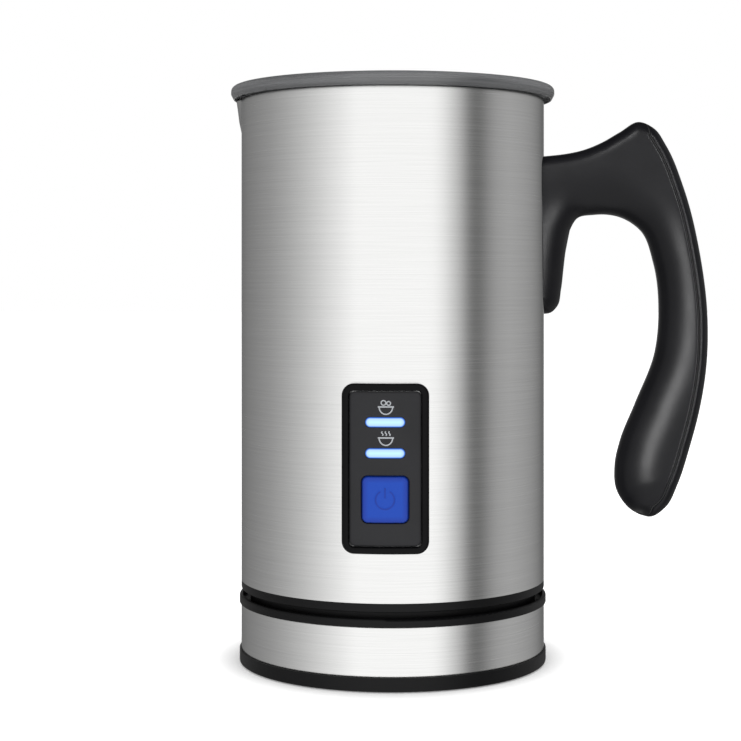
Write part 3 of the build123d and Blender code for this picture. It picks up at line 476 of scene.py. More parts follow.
def brushed(name, base, roughness, line, depth, anisotropy):
    """Brushed sheet: a belt drawn round the jug leaves long fine lines, about as far apart as line in
    millimetres. The noise is stretched in x and y, so a line runs level for several centimetres, and
    sets the height, the gloss and a little of the tint."""
    finish, tree, shader, place = finish_start(
        name, base, roughness, Metallic=1.0, Anisotropic=anisotropy, Anisotropic_Rotation=0.25
    )
    level = add(tree, "Mapping", {"Vector": place, "Scale": (22, 22, 1000 / line)}).outputs[0]
    noise = {"Vector": level, "Scale": 1.0, "Detail": 5.0, "Roughness": 0.62}
    lines = add(tree, "TexNoise", noise).outputs["Fac"]
    surfaced(tree, shader, base, (0.93, 1.05), lines, roughness, (0.85, 1.15), lines, lines, depth)
    around = add(tree, "Tangent", direction_type="RADIAL", axis="Z")
    tree.links.new(around.outputs[0], shader.inputs["Tangent"])
    return finish


def metal(name, base, roughness, grain, depth):
    """Plated, cast or sintered metal: grain of the given size and depth in millimetres with gloss that
    follows it, and a tint that clouds over some 6 mm."""
    finish, tree, shader, place = finish_start(name, base, roughness, Metallic=1.0)
    fine = add(tree, "TexNoise", {"Vector": place, "Scale": 1000 / grain, "Detail": 4.0}).outputs["Fac"]
    broad = add(tree, "TexNoise", {"Vector": place, "Scale": 1000 / 6, "Detail": 2.0}).outputs["Fac"]
    surfaced(tree, shader, base, (0.88, 1.08), broad, roughness, (0.8, 1.2), fine, fine, depth)
    return finish


def smoked(name, base, roughness, **sockets):
    """Smoke-tinted clear plastic with level streaks in its gloss. Its tint carries painted reflection
    streaks, lighter and darker round the rim, and painted shade that darkens it down the lip towards the
    lower edge."""
    finish, tree, shader, place = finish_start(name, base, roughness, **sockets)
    level = add(tree, "Mapping", {"Vector": place, "Scale": (14, 14, 900)}).outputs[0]
    streaks = add(tree, "TexNoise", {"Vector": level, "Scale": 1.0, "Detail": 3.0}).outputs["Fac"]
    seen = {"Value": streaks, "From Min": 0.3, "From Max": 0.7}
    # Painted reflection: level streaks lighten and darken the tint round the rim
    painted_streak_light = add(tree, "MapRange", {**seen, "To Min": 0.68, "To Max": 1.24}).outputs[0]
    rough = add(tree, "MapRange", {**seen, "To Min": roughness * 0.85, "To Max": roughness * 1.15}).outputs[0]
    height = add(tree, "SeparateXYZ", {0: place}).outputs[2]
    lip = {"From Min": (lid_top - lid_rim) / 1000, "From Max": (lid_top - 0.9) / 1000}
    # Painted shade: the tint darkens down the lip towards its lower edge
    painted_lip_shade = add(tree, "MapRange", {"Value": height, **lip, "To Min": 0.5, "To Max": 1.0}).outputs[0]
    shade = add(tree, "Math", {0: painted_lip_shade, 1: painted_streak_light}, operation="MULTIPLY").outputs[0]
    tint = add(tree, "VectorMath", {0: base, "Scale": shade}, operation="SCALE").outputs[0]
    tree.links.new(tint, shader.inputs["Base Color"])
    tree.links.new(rough, shader.inputs["Roughness"])
    return finish


def lit(name, base, stops, strength, roughness):
    """Translucent plastic lit from behind: the light's colour follows the depth from the edge, up to a
    deepest one in millimetres, by the piece's own depth attribute."""
    deepest = 4.0
    finish, tree, shader, _ = finish_start(name, base, roughness, Specular_IOR_Level=0.25)
    depth = add(tree, "Attribute", attribute_name="depth").outputs["Fac"]
    share = add(tree, "MapRange", {"Value": depth, "From Min": 0.0, "From Max": deepest}).outputs["Result"]
    ramp = add(tree, "ValToRGB", {0: share})
    marks = ramp.color_ramp.elements
    for spot, (at, tint) in enumerate(stops):
        mark = marks[spot] if spot < 2 else marks.new(at / deepest)
        mark.position, mark.color = at / deepest, (*tint, 1)
    tree.links.new(ramp.outputs[0], shader.inputs["Emission Color"])
    shader.inputs["Emission Strength"].default_value = strength
    return finish


def make_finishes(sizes, colours):
    """Every finish of the frother by the record's slot name."""
    brush_line = sizes.brush_line * 1000
    return {
        # Type 304 stainless sheet, belt-brushed round the jug: level hairlines, soft upright streaks of light
        "brushed_steel": brushed("brushed_stainless_steel", colours.steel, 0.24, brush_line, 0.004, 0.75),
        # ABS from a fine-eroded mould: near black, low sheen
        "black_plastic": moulded(
            "black_moulded_abs", colours.black, 0.4, 0.5, 0.006, Specular_IOR_Level=0.15
        ),
        # Polypropylene from a polished mould: satin black with soft wide highlights
        "handle_plastic": moulded(
            "satin_black_polypropylene", colours.handle, 0.32, 0.7, 0.004, Specular_IOR_Level=0.15
        ),
        # ABS from a mirror-polished mould: deep black with crisp edge highlights
        "bezel_plastic": moulded("gloss_black_abs", colours.bezel, 0.16, 2.5, 0.002, Specular_IOR_Level=0.08),
        # ABS from a satin-etched mould: charcoal that hardly mirrors anything
        "fascia_plastic": moulded(
            "charcoal_etched_abs", colours.fascia, 0.5, 0.4, 0.008, Specular_IOR_Level=0.2
        ),
        # Tinted SAN, injection moulded: smoky grey, slightly milky, with a polished skin
        "smoked_lid": smoked("smoke_tinted_san", colours.lid, 0.16, Transmission_Weight=0.55, IOR=1.57),
        # Liquid silicone: translucent grey-white, matt and slightly waxy
        "silicone": moulded(
            "grey_silicone", linear("#8d8f90"), 0.55, 0.6, 0.006,
            Subsurface_Weight=0.25, Subsurface_Scale=0.002,
        ),
        # Natural rubber compound: matt black with a dusty sheen
        "rubber": moulded("matt_black_rubber", linear("#161616"), 0.75, 0.5, 0.02, Sheen_Weight=0.15),
        # PTFE-based coating sprayed on aluminium: dark grey with fine flecks and a satin gloss
        "nonstick": moulded(
            "sprayed_nonstick", linear("#303133"), 0.33, 0.55, 0.012, mottle=0.3, Specular_IOR_Level=0.6
        ),
        # Drawn brass: warm yellow, slightly dulled by contact
        "contact_brass": metal("drawn_brass", linear("#d9b35a"), 0.28, 0.5, 0.004),
        # Zinc-plated cold-headed steel: grey with a faint cool cast
        "screw_steel": metal("zinc_plated_steel", linear("#b9bcc0"), 0.32, 0.5, 0.006),
        # Nickel-plated pressed steel: brighter and warmer than zinc
        "plated_steel": metal("nickel_plated_steel", linear("#c3beb4"), 0.24, 0.9, 0.005),
        # Die-cast aluminium alloy: pale grey, grainy and matt
        "cast_aluminium": metal("die_cast_aluminium", linear("#a8a9ab"), 0.46, 0.6, 0.03),
        # Sintered neodymium with a nickel skin: dark and even
        "magnet": metal("sintered_magnet", linear("#85868a"), 0.3, 0.4, 0.01),
        # Epoxy-glass laminate with solder resist: green, glossy, with the weave just showing
        "circuit_board": moulded("green_solder_resist", linear("#1c5a35"), 0.3, 0.6, 0.008, mottle=0.25),
        # Thermoset component bodies: dark grey and matt
        "component_plastic": moulded("dark_thermoset", linear("#2a2a2d"), 0.5, 0.4, 0.01),
        # Clear epoxy lens: water-white and glossy
        "led_lens": moulded(
            "clear_epoxy", linear("#dfe8ee"), 0.1, 1.5, 0.001, Transmission_Weight=0.85, IOR=1.5
        ),
        # Glass-filled nylon: off-black with pale fibre flecks at the skin
        "filled_nylon": moulded("glass_filled_nylon", linear("#3b3b3d"), 0.48, 0.35, 0.02, mottle=0.35),
        # Acetal: dense grey plastic with a slippery sheen
        "whisk_plastic": moulded("grey_acetal", linear("#3a3b3e"), 0.32, 0.6, 0.005),
        # Spring-temper stainless wire: bright drawn finish
        "whisk_wire": metal("drawn_stainless_wire", linear("#cfcfcf"), 0.18, 0.3, 0.003),
        # Polycarbonate light pipe: white-cyan glow, paler blue towards its edge, deep blue at the very rim
        "window_plastic": lit(
            "lit_polycarbonate",
            linear("#1b2a3c"),
            [
                (0.0, linear("#1a36a0")), (0.22, linear("#4f8df2")), (0.5, linear("#bfe0ff")),
                (1.4, colours.glow),
            ],
            colours.window_light,
            0.3,
        ),
        # Screen-printed ink: pale grey and matt
        "sign_ink": moulded("pale_grey_print", linear("#9b9ea2"), 0.6, 0.3, 0.003),
        # Translucent blue ABS, lit from behind: deeper at its edge and along the raised symbol
        "button_plastic": lit(
            "lit_blue_abs",
            colours.button,
            [(0.0, linear("#050f40")), (0.5, linear("#10309a")), (2.0, linear("#0a50c8"))],
            colours.button_light,
            0.36,
        ),
    }


finishes = {}


class Builder:
    """What the pieces' operators share: the sizes, and the finishes once they are made."""

    bl_options = {"REGISTER", "UNDO"}

    def begin(self, context):
        """Makes the finishes at the first call, and returns the sizes."""
        if not finishes:
            finishes.update(make_finishes(context.scene.frother_sizes, context.scene.frother_colours))
        return context.scene.frother_sizes


class FROTHER_OT_jacket(Builder, bpy.types.Operator):
    """The brushed jacket: a sheet wall with a rounded shoulder, a pouring spout and the panel's cut-out"""

    bl_idname = "frother.jacket"
    bl_label = "Steel jacket"

    def execute(self, context):
        """Two skins the sheet's thickness apart. Up the wall each row has an inset from the outside, 0 on
        the wall and growing round the shoulder to the mouth."""
        sizes = self.begin(context)
        wall, shoulder = sizes.steel_wall * 1000, sizes.shoulder * 1000
        behind_plate, mouth = 0.6, 3.1
        half, low = plate_high[0] - behind_plate, plate_low[2] + behind_plate
        high = plate_high[2] - behind_plate
        spout_foot, bend_foot = jacket_top - round(sizes.spout_height * 1000, 3), jacket_top - shoulder
        levels = stations((jacket_low, low, high, spout_foot), 4.0)[:-1]
        levels = np.concatenate([levels, np.linspace(spout_foot, bend_foot, 18)])
        bend = np.linspace(0, pi / 2, 12)[1:]
        inward, upward, inner = 1 - np.cos(bend), np.sin(bend), shoulder - wall
        edge = float(np.arcsin(half / jug_radius))
        rest = np.linspace(edge, 2 * pi - edge, 330)[1:-1]
        angle = np.concatenate([stations((-edge, edge), 0.03), rest]) - pi / 2
        skins = []
        for start, radius, top in ((0, shoulder, jacket_top), (wall, inner, jacket_top - wall)):
            rows = np.concatenate([0 * levels + start, start + radius * inward, [mouth]])[:, None]
            heights = np.concatenate([levels, bend_foot + radius * upward, [top]])[:, None]
            radii = spouted(angle[None], jug_radius - rows, heights, rows, sizes)
            skins.append(about_axis(radii, angle, heights))
        heights = skins[0][:, 0, 2]
        middle = (heights[1:] + heights[:-1]) / 2
        across_plate = angle + pi / 2 + 1e-6 < edge
        cut = across_plate[None] & ((middle > low) & (middle < high))[:, None]
        shape = walled(*skins, ~cut, wrap=True)
        make_piece("steel_jacket", shape, "jug", "brushed_steel", ["outer_shell"], 40)
        return {"FINISHED"}


class FROTHER_OT_base_band(Builder, bpy.types.Operator):
    """The base's steel band, with a round hole for the cord's grommet"""

    bl_idname = "frother.base_band"
    bl_label = "Base band"

    def execute(self, context):
        """A cylinder's two skins over angle and height, whose cells round the hole bend from a square
        into a circle."""
        sizes = self.begin(context)
        low, high = span("base_band")[0][2], span("base_band")[1][2]
        gland, bore, zone, turn_in = middle_height("cord_gland"), 5.05, 12, 0.15
        z = stations((low, low + 0.4, gland - bore, gland + bore, high - 0.4, high), 0.6)
        around = stations((-zone, -bore, bore, zone), 0.6)
        rest = np.linspace(zone, 2 * pi * jug_radius - zone, 240)[1:-1]
        across, up = np.meshgrid(np.concatenate([around, rest]), z)
        middle = (across + np.roll(across, -1, 1)) / 2
        level = (up[1:] + up[:-1]) / 2
        keep = (np.abs(middle[1:]) > bore) | (np.abs(level - gland) > bore)
        keep |= across[1:] > zone
        across, up = round_corners(across, up, (0.0, gland, bore, bore, bore))
        at_rim = (up < low + 0.01) | (up > high - 0.01)
        skins = [
            about_axis(radius - np.where(at_rim, fall, 0), across / jug_radius + pi / 2, up)
            for radius, fall in ((jug_radius, turn_in), (jug_radius - sizes.steel_wall * 1000, 0))
        ]
        shape = walled(*skins, keep, wrap=True)
        make_piece("base_steel_band", shape, "base", "brushed_steel", ["base_band"], 40)
        return {"FINISHED"}


class FROTHER_OT_lid(Builder, bpy.types.Operator):
    """The smoke-tinted lid with its down-turned lip, and the ribbed seal on its plug"""

    bl_idname = "frother.lid"
    bl_label = "Lid and seal"

    def execute(self, context):
        """Both are closed lines of radius and height, turned about the jug's axis."""
        self.begin(context)
        top, under, lip, low = (lid_top - drop for drop in (0, 1.8, lid_rim, 9.3))
        sunk, rib = top - 0.6, low + 0.9
        sunk_radius, lip_inside, plug_inside, plug_outside, rib_radius = 45.3, 53.25, 43.75, 45.35, 46.3
        corners = [
            (0, sunk), (sunk_radius, sunk), (45.9, top), (lid_radius, top), (lid_radius, lip + 1.7),
            (53.6, lip), (lip_inside, lip), (lip_inside, under), (plug_outside, under), (plug_outside, rib),
            (rib_radius, rib), (rib_radius, low), (plug_inside, low), (plug_inside, under), (0, under),
        ]
        radii = [0, 0.5, 0.3, 1.6, 1.0, 0.15, 0.1, 0.6, 0.4, 0.1, 0.25, 0.25, 0.5, 0.6, 0]
        make_piece("smoked_lid", turned(rounded(corners, radii)), "lid", "smoked_lid", ["lid"])
        low = span("lid_seal")[0][2]
        inside, root, tip, high = 45.4, 46.1, 46.8, low + 5
        line = [(inside, high), (inside, low)]
        for fin in (low, low + 2.1, low + 4.2):
            line += [(root, fin), (tip, fin + 0.1), (tip, fin + 0.7), (root, fin + 0.8)]
        line[-1] = (root, high)
        shape = turned(rounded(line, [0.2, 0.2] + [0.05, 0.25, 0.25, 0.3] * 3, 5))
        make_piece("ribbed_seal", shape, "lid", "silicone", ["lid_seal"])
        return {"FINISHED"}


class FROTHER_OT_vessel(Builder, bpy.types.Operator):
    """The non-stick vessel: a cup with a rounded floor, two fill rings, a flared mouth and a flange"""

    bl_idname = "frother.vessel"
    bl_label = "Milk vessel"

    def execute(self, context):
        """A closed line of radius and height turned about the axis, each row swelling to the spout."""
        sizes = self.begin(context)
        floor, flare_low, flare_high, top, wall, lip = 88.2, 163, 176, vessel_top, 0.8, 0.65
        bore, mouth, flange = 42, 47, 49.1
        inside = [(0, floor), (bore, floor)]
        for ring in (125, 150):
            inside += [(bore, ring - 0.4), (bore - 0.25, ring), (bore, ring + 0.4)]
        inside += [(bore, flare_low), (mouth, flare_high), (mouth, top)]
        outside = [(flange, top), (flange, top - lip), (mouth + wall, top - lip)]
        outside += [(mouth + wall, flare_high), (bore + wall, flare_low), (bore + wall, floor - wall)]
        outside += [(0, floor - wall)]
        radii = [0, 5] + [0.2, 0.3, 0.2] * 2 + [6, 6, 0.45] + [0.25, 0.25, 0.4, 6, 6, 5.8, 0]
        profile = rounded(inside + outside, radii, 8)
        sides = np.roll(profile, -1, 0) - profile
        count = np.maximum(np.ceil(np.linalg.norm(sides, axis=1) / 3.5), 1).astype(int)
        place = np.repeat(np.arange(len(profile)), count)
        part = (np.arange(count.sum()) - (np.cumsum(count) - count)[place]) / count[place]
        profile = profile[place] + sides[place] * part[:, None]
        angle = np.linspace(0, 2 * pi, 264, endpoint=False)
        r, z = profile[:, :1], profile[:, 1:]
        swollen = spouted(angle[None], r, z, jug_radius - r, sizes)
        swollen = np.where((z > flare_high) & (r > bore - 2), swollen, r + 0 * angle)
        shape = about_axis(swollen, angle, z).reshape(-1, 3), grid(len(profile), len(angle), True, True)
        make_piece("nonstick_vessel", shape, "jug", "nonstick", ["inner_vessel"], 30)
        return {"FINISHED"}


class FROTHER_OT_handle(Builder, bpy.types.Operator):
    """The handle and the strip on its back, with the fine seam between them"""

    bl_idname = "frother.handle"
    bl_label = "Handle"

    # Out from the jacket and up from the handle's top edge, in matching places along its two edges
    outer_edge = [
        (-0.6, -0.6), (2.6, -0.3), (5.4, 0.0), (8.6, 0.5), (12.8, 1.5), (18.8, 3.9), (24.9, 7.4),
        (31.2, 10.8), (36.5, 8.4), (40.2, 3.0), (46.1, -11.3), (51.3, -32.4), (54.0, -56.5),
        (53.6, -70.0), (51.6, -83.4), (48.0, -97.5), (44.0, -109.8), (40.2, -117.4), (34.8, -121.1),
        (31.9, -120.5),
    ]
    inner_edge = [
        (-0.6, -53.2), (2.0, -52.9), (4.5, -50.5), (5.7, -45.0), (6.9, -34.0), (8.5, -25.4), (11.4, -20.9),
        (16.6, -19.9), (21.0, -19.8), (24.9, -20.5), (32.6, -25.4), (36.7, -36.0), (38.5, -52.0),
        (37.2, -66.0), (30.5, -83.5), (25.5, -96.0), (23.8, -103.8), (24.5, -112.8), (29.2, -119.0),
        (31.9, -120.5),
    ]
    # Where the strip starts and ends, in points along the outer edge, and over how many its edge sinks in
    strip_start, strip_end, sink_in, rise_out = 7.3, 18.4, 0.9, 1.0

    def execute(self, context):
        """A pillow over the handle's outline. A point between the two edges has half the handle's width,
        less a rounding by its distance from each edge and a small one at the seam."""
        sizes = self.begin(context)
        steps, seam_edge, least, curved_to = 14, 0.7, 1.2, 12
        outer, inner = line_through(self.outer_edge, steps), line_through(self.inner_edge, steps)
        along = np.linspace(0, len(self.outer_edge) - 1, len(outer))
        heading = np.gradient(outer, axis=0)
        heading /= np.linalg.norm(heading, axis=1, keepdims=True)
        inward = np.stack([heading[:, 1], -heading[:, 0]], -1)
        share = np.clip((along - self.strip_start) / self.sink_in, 0, 1)
        share = share * np.clip((self.strip_end - along) / self.rise_out, 0, 1)
        share = share * share * (3 - 2 * share)
        seam = outer + inward * (sizes.handle_strip * 1000 * share)[:, None]
        gap = inward * (sizes.handle_seam * 500 * share)[:, None]
        half, edge, soft = sizes.handle_width * 500, sizes.handle_edge * 1000, sizes.handle_inner_edge * 1000

        def pillow(first, last, count, seamed, share):
            """The two sides of the handle between two lines along it, with the seam at the line seamed."""
            t = ((1 - np.cos(np.linspace(0, pi, count))) / 2)[None, :, None]
            flat = first[:, None] * (1 - t) + last[:, None] * t
            points = flat.reshape(-1, 2)
            reach = half - edge_drop(distance_to_line(points, outer), edge)
            reach -= edge_drop(distance_to_line(points, inner), soft) * 0.62
            shown = np.clip(np.repeat(share, count) * 3 - 0.5, 0, 1)
            reach -= edge_drop(distance_to_line(points, seamed), seam_edge) * shown
            reach = np.maximum(reach, least).reshape(flat.shape[:2])
            out, up = flat[..., 0], jacket_top - handle_drop + flat[..., 1]
            bend = (jug_radius - np.sqrt(jug_radius**2 - reach**2)) * np.clip(1 - out / curved_to, 0, 1)
            x = jug_radius + 0.05 + np.maximum(out, 0) - bend
            return walled(*(np.stack([x, side * reach, up], -1) for side in (-1, 1)))

        body = pillow(seam + gap, inner, 40, seam + gap, share)
        grip = make_piece("handle_moulding", body, "jug", "handle_plastic", ["handle_grip"], 50)
        strip = slice(7 * steps + 5, 18 * steps + 5)
        inside = (seam - gap)[strip]
        back = pillow(outer[strip], inside, 14, inside, share[strip])
        cover = make_piece("handle_back_strip", back, "jug", "handle_plastic", ["handle_back"], 50)
        for piece in (grip, cover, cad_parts["handle_screws"]):
            piece.visible_glossy = False
        return {"FINISHED"}


class FROTHER_OT_panel(Builder, bpy.types.Operator):
    """The control panel: raised bezel, fascia, two lit windows and the signs above them"""

    bl_idname = "frother.panel"
    bl_label = "Control panel"

    # Distances from the jug's axis
    fascia_face, fascia_rear = 52.1, 51.06
    window_face, window_rear = 52.05, 50.4

    def execute(self, context):
        """The bezel is a rounded profile carried round the panel's outline; the fascia and the windows
        are plates on the jug's curve; the signs are ribbons along short lines."""
        sizes = self.begin(context)
        width, edge = sizes.bezel_width * 1000, sizes.bezel_edge * 1000
        half_x, half_z = bezel_high[0], (bezel_high[2] - bezel_low[2]) / 2
        face = -bezel_low[1]
        rear, step, inner_rear = 50.95, 51.35, 50.75
        path, normal = outline(half_x, half_z, 3.8)
        corners = [(0, rear), (0, face - 0.1), (0.9, face), (width, face), (width, step), (width, inner_rear)]
        line = rounded(corners, [0, edge * 0.8, 1.5, edge, 0, 0], 7)
        flat = path[None] - normal[None] * line[:, :1, None]
        points = on_jug(flat[..., 0], flat[..., 1] + panel_middle, line[:, 1:])
        shape = points.reshape(-1, 3), grid(len(line), len(path), True, True)
        make_piece("panel_frame", shape, "jug", "bezel_plastic", ["panel_bezel"], 45)

        play = 0.3
        plate_half_x, plate_half_z = plate_high[0] - 0.02, (plate_high[2] - plate_low[2]) / 2 - 0.02
        hole = sizes.button_size * 500 + play
        holes = [(0.0, button_middle, hole, hole, sizes.button_corner * 1000 + play)]
        holes += [self.pill(name, 0.05) for name in window_middles]
        shape = (0.0, panel_middle, plate_half_x, plate_half_z, 1.7)
        points, faces, _ = panel_plate(shape, holes, self.fascia_face, self.fascia_rear, 0.18, 0.45)
        make_piece("panel_fascia", (points, faces), "jug", "fascia_plastic", ["panel_plate"], 40)
        for name in window_middles:
            shape = self.pill(name)
            points, faces, depth = panel_plate(shape, [], self.window_face, self.window_rear, 0.3, 0.2)
            make_piece(name + "_light", (points, faces), "jug", "window_plastic", [name], 40, depth)
        self.signs()
        return {"FINISHED"}

    def pill(self, name, gap=0.0):
        """A window's outline, grown by a gap: its corners are all but half circles."""
        return (0.0, window_middles[name], 6.2 + gap, 1.55 + gap, 1.549 + gap)

    def signs(self):
        """A bowl above each window: steam rises from the warm one and two bubbles stand on the froth one."""
        turn = np.linspace(pi, 2 * pi, 25)
        bowl = np.stack([2.1 * np.cos(turn), 1.0 + 2.3 * np.sin(turn)], -1)
        rim = np.array([(-2.5, 1.0), (-1.2, 1.0), (0, 1.0), (1.2, 1.0), (2.5, 1.0)])
        rise = np.linspace(0, 1, 13)
        steam = [np.stack([x + 0.22 * np.sin(rise * 2 * pi), 1.7 + 1.3 * rise], -1) for x in (-1.1, 0.0, 1.1)]
        round_turn = np.linspace(0, 2 * pi, 20, endpoint=False)
        bubbles = [
            np.stack([x + r * np.cos(round_turn), y + r * np.sin(round_turn)], -1)
            for x, y, r in ((-0.75, 2.25, 0.72), (0.85, 2.1, 0.6))
        ]
        for name, extras, closed in (("window_warm", steam, False), ("window_froth", bubbles, True)):
            middle = (0.25, window_middles[name] + 3.8)
            low, high = self.fascia_face - 0.1, self.fascia_face + 0.06
            shapes = [ribbon(bowl, 0.4, low, high, middle), ribbon(rim, 0.45, low, high + 0.01, middle)]
            shapes += [ribbon(extra, 0.36, low, high, middle, closed) for extra in extras]
            make_piece(name + "_sign", joined(*shapes), "jug", "fascia_plastic", crease=60, finish="sign_ink")


class FROTHER_OT_button(Builder, bpy.types.Operator):
    """The lit power button with its raised symbol"""

    bl_idname = "frother.button"
    bl_label = "Power button"

    def execute(self, context):
        """A rounded square plate on the jug's curve. The symbol is a ridge by the distance from a ring
        that is open at the top and from a short upright line."""
        sizes = self.begin(context)
        half, tall = sizes.button_size * 500, 0.17
        ring, line = sizes.symbol_radius * 1000, sizes.symbol_line * 500
        face, rear, flange, flange_face, flange_rear = 52.7, 50.35, 0.9, 50.3, 49.7

        def symbol(across, up):
            """Height of the symbol, from the nearer of its ring and its upright."""
            x, z = across, up - button_middle
            gap = radians(34)
            turn = np.arctan2(x, z)
            held = np.sign(turn) * np.maximum(np.abs(turn), gap)
            held = np.where(held == 0, gap, held)
            to_ring = np.hypot(x - ring * np.sin(held), z - ring * np.cos(held))
            to_line = np.hypot(x, z - np.clip(z, 0.6, ring + 0.55))
            near = np.minimum(to_ring, to_line)
            return tall * np.clip((line - near) / 0.2 + 0.5, 0, 1)

        shape = (0.0, button_middle, half, half, sizes.button_corner * 1000)
        points, faces, depth = panel_plate(shape, [], face, rear, 0.55, 0.13, symbol)
        shape = (0.0, button_middle, half + flange, half + flange, 2.7)
        cap = panel_plate(shape, [], flange_face, flange_rear, 0.1, 1.2)
        shade = 1 - 0.9 * symbol(points[:, 0], points[:, 2]) / tall
        both, depth = joined((points, faces), cap[:2]), np.concatenate([depth * shade, 0 * cap[2]])
        make_piece("lit_button", both, "button", "button_plastic", ["power_button"], 45, depth)
        return {"FINISHED"}


class FROTHER_OT_whisk(Builder, bpy.types.Operator):
    """The whisk's spring, wound into a ring round the disc"""

    bl_idname = "frother.whisk"
    bl_label = "Whisk spring"

    def execute(self, context):
        """The wire's centre circles a ring 44 times: its distance from the axis is R + r cos(44 a) and
        its height r sin(44 a). A circle across the wire's heading follows it."""
        sizes = self.begin(context)
        turns, major, coil_radius, wire = 44, 15.2, 2.08, sizes.coil_wire * 500
        minor = coil_radius - wire
        a = np.linspace(0, 2 * pi, turns * 16, endpoint=False)
        outward = np.stack([np.cos(a), np.sin(a), 0 * a], -1)
        lean = np.cos(turns * a)[:, None] * outward + np.sin(turns * a)[:, None] * np.array([0, 0, 1.0])
        centre = major * outward + minor * lean + np.array([0, 0, middle_height("whisk_coil")])
        heading = np.roll(centre, -1, 0) - np.roll(centre, 1, 0)
        heading /= np.linalg.norm(heading, axis=1, keepdims=True)
        side = np.cross(heading, lean)
        b = np.linspace(0, 2 * pi, 8, endpoint=False)[None, :, None]
        points = centre[:, None] + wire * (lean[:, None] * np.cos(b) + side[:, None] * np.sin(b))
        shape = points.reshape(-1, 3), grid(len(a), 8, True, True)
        make_piece("whisk_spring", shape, "whisk", "whisk_wire", ["whisk_coil"], 80)
        return {"FINISHED"}


class FROTHER_OT_finishes(Builder, bpy.types.Operator):
    """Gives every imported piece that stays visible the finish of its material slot"""

    bl_idname = "frother.finishes"
    bl_label = "Finishes"

    def execute(self, context):
        """Sets the finish named by each node's slot in the record."""
        self.begin(context)
        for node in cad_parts.values():
            for place, slot in enumerate(node.material_slots):
                slot.link = "OBJECT"
                slot.material = finishes[node.data.materials[place].name.split(".")[0]]
        return {"FINISHED"}


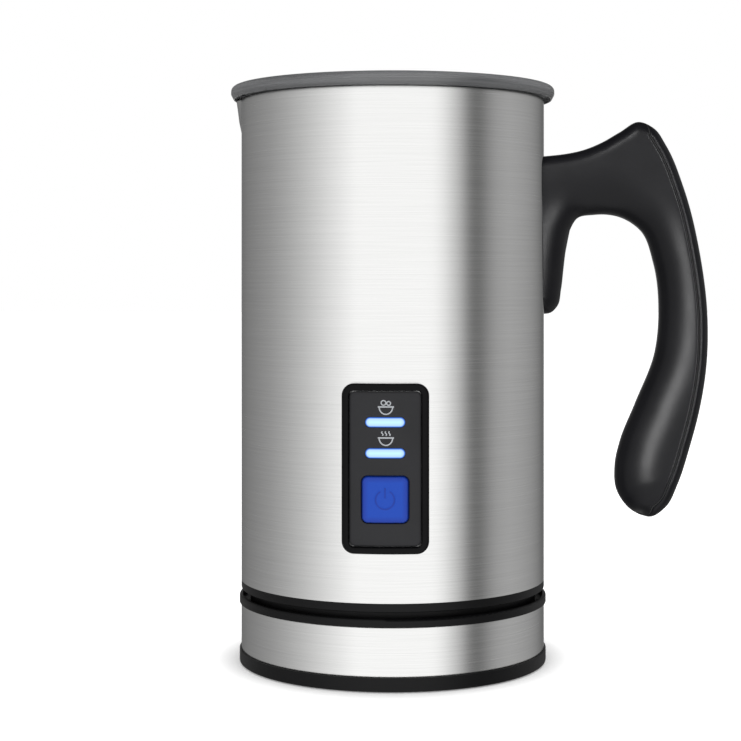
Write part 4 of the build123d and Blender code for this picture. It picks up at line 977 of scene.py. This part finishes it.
class FROTHER_OT_studio(bpy.types.Operator):
    """A pale floor with a painted contact shadow round the base, soft studio light and the camera"""

    bl_idname = "frother.studio"
    bl_label = "Studio"

    # Light round the jug at eye level: degrees from the camera's side, positive towards the handle, and grey
    surround = [
        (-180, 120), (-172, 150), (-162, 93), (-150, 104), (-140, 115), (-125, 126), (-102, 144),
        (-84, 164), (-68, 186), (-54, 207), (-46, 220), (-38, 231), (-30, 243), (-24, 250), (33, 250),
        (41, 233), (46, 212), (51, 193), (56, 165), (61, 122), (67, 98), (73, 113), (79, 136), (87, 153),
        (100, 160), (116, 152), (130, 140), (142, 123), (154, 100), (163, 80), (172, 130), (180, 120),
    ]

    def execute(self, context):
        """The world's light depends on the compass direction, and darkens overhead."""
        context.scene.view_settings.view_transform = "Standard"
        world = bpy.data.worlds.new("studio")
        context.scene.world = world
        world.use_nodes = True
        tree = world.node_tree
        tree.nodes.clear()
        way = add(tree, "SeparateXYZ", {0: add(tree, "TexCoord").outputs["Object"]})
        back = add(tree, "Math", {0: way.outputs[1], 1: -1.0}, operation="MULTIPLY")
        turn = add(tree, "Math", {0: way.outputs[0], 1: back.outputs[0]}, operation="ARCTAN2")
        place = add(tree, "MapRange", {"Value": turn.outputs[0], "From Min": -pi, "From Max": pi})
        ramp = add(tree, "ValToRGB", {0: place.outputs["Result"]})
        stops = ramp.color_ramp.elements
        for spot, (degrees, grey) in enumerate(self.surround):
            at = (degrees + 180) / 360
            stop = stops[spot] if spot < 2 else stops.new(at)
            stop.position = at
            stop.color = (*linear("#" + "%02x" % grey * 3), 1)
        fall = {"From Min": 0.35, "From Max": 0.8, "To Min": 1.0, "To Max": 0.16}
        tall = add(tree, "MapRange", {"Value": way.outputs[2], **fall}, interpolation_type="SMOOTHSTEP")
        strength = add(tree, "Math", {0: tall.outputs["Result"], 1: 1.55}, operation="MULTIPLY")
        seen = add(tree, "LightPath").outputs["Is Camera Ray"]
        room = add(tree, "Background", {"Color": ramp.outputs[0], "Strength": strength.outputs[0]})
        plain = add(tree, "Background", {"Color": (1, 1, 1, 1), "Strength": 1.0})
        mixed = add(tree, "MixShader", {0: seen, 1: room.outputs[0], 2: plain.outputs[0]})
        add(tree, "OutputWorld", {0: mixed.outputs[0]})

        paper, paper_tree, shader, place = finish_start("white_paper_sweep", (0.86, 0.86, 0.86), 0.9)
        fibre = add(paper_tree, "TexNoise", {"Vector": place, "Scale": 1000 / 1.2, "Detail": 3.0})
        bump = add(paper_tree, "Bump", {"Height": fibre.outputs["Fac"], "Strength": 0.2, "Distance": 0.0001})
        paper_tree.links.new(bump.outputs[0], shader.inputs["Normal"])
        shader.inputs["Emission Color"].default_value = (1, 1, 1, 1)
        # Painted contact shadow: the floor's glow falls from 0.9 to 0.2 towards the base, over an oval a
        # little longer front to back
        flat = add(paper_tree, "VectorMath", {0: place, 1: (1, 0.93, 0)}, operation="MULTIPLY")
        away = add(paper_tree, "VectorMath", {0: flat.outputs[0]}, operation="LENGTH")
        glow = {"From Min": 0.049, "From Max": 0.067, "To Min": 0.2, "To Max": 0.9}
        painted_shadow_glow = add(paper_tree, "MapRange", {"Value": away.outputs["Value"], **glow})
        paper_tree.links.new(painted_shadow_glow.outputs["Result"], shader.inputs["Emission Strength"])
        across = np.linspace(-6, 6, 13)
        x, y = np.meshgrid(across, across)
        points = np.stack([x, y, 0 * x], -1).reshape(-1, 3)
        mesh = bpy.data.meshes.new("floor")
        mesh.from_pydata(points, [], grid(13, 13))
        mesh.materials.append(paper)
        floor = bpy.data.objects.new("floor", mesh)
        floor.visible_glossy = False
        context.scene.collection.objects.link(floor)

        lit_only = bpy.data.collections.new("lit_by_handle_strips")
        for name in ("handle_moulding", "handle_back_strip"):
            lit_only.objects.link(bpy.data.objects[name])
        jug_middle = Vector((0, 0, 0.09))
        for name, at, wide, tall, power, shiny in (
            ("overhead", (0.2, -0.5, 1.6), 1.6, 1.6, 16, False),
            ("handle_strip", (-0.4, -1.05, 0.42), 0.34, 1.0, 22, True),
            ("handle_edge_strip", (0.75, -0.85, 0.2), 0.25, 1.0, 13, True),
        ):
            light = bpy.data.lights.new(name, "AREA")
            light.shape, light.size, light.size_y, light.energy = "RECTANGLE", wide, tall, power
            lamp = bpy.data.objects.new(name, light)
            lamp.location = at
            lamp.rotation_euler = (Vector(at) - jug_middle).to_track_quat("Z", "Y").to_euler()
            lamp.visible_glossy = shiny
            context.scene.collection.objects.link(lamp)
            if shiny:
                lamp.light_linking.receiver_collection = lit_only

        lens = bpy.data.cameras.new("camera")
        lens.lens, lens.sensor_width = 86.1, 36
        lens.shift_x, lens.shift_y = -0.030, -0.125
        camera = bpy.data.objects.new("camera", lens)
        turn, away, eye_height = radians(2.6), 0.6, 0.1287
        camera.location = (away * sin(turn), -away * cos(turn), eye_height)
        camera.rotation_euler = (pi / 2, 0, turn)
        context.scene.collection.objects.link(camera)
        context.scene.camera = camera
        return {"FINISHED"}


operators = (
    FROTHER_OT_finishes,
    FROTHER_OT_jacket,
    FROTHER_OT_base_band,
    FROTHER_OT_lid,
    FROTHER_OT_vessel,
    FROTHER_OT_handle,
    FROTHER_OT_panel,
    FROTHER_OT_button,
    FROTHER_OT_whisk,
    FROTHER_OT_studio,
)


class FROTHER_PT_sidebar(bpy.types.Panel):
    """Lists the frother's sizes, colours and pieces in the 3D view's sidebar"""

    bl_idname = "FROTHER_PT_sidebar"
    bl_label = "Milk frother"
    bl_space_type = "VIEW_3D"
    bl_region_type = "UI"
    bl_category = "Frother"

    def draw(self, context):
        """One row for each property and one button for each operator."""
        for group in (context.scene.frother_sizes, context.scene.frother_colours):
            for name in group.__annotations__:
                self.layout.prop(group, name)
        for operator in operators:
            self.layout.operator(operator.bl_idname)


classes = (FrotherSizes, FrotherColours, *operators, FROTHER_PT_sidebar)


def register():
    """Registers the classes and hangs the properties on the scene."""
    for item in classes:
        bpy.utils.register_class(item)
    bpy.types.Scene.frother_sizes = bpy.props.PointerProperty(type=FrotherSizes)
    bpy.types.Scene.frother_colours = bpy.props.PointerProperty(type=FrotherColours)


def unregister():
    """Takes the properties and the classes away again."""
    del bpy.types.Scene.frother_colours
    del bpy.types.Scene.frother_sizes
    for item in reversed(classes):
        bpy.utils.unregister_class(item)


def main():
    """Builds every piece, then the studio."""
    register()
    for operator in operators:
        group, name = operator.bl_idname.split(".")
        getattr(getattr(bpy.ops, group), name)()


if __name__ == "__main__":
    main()
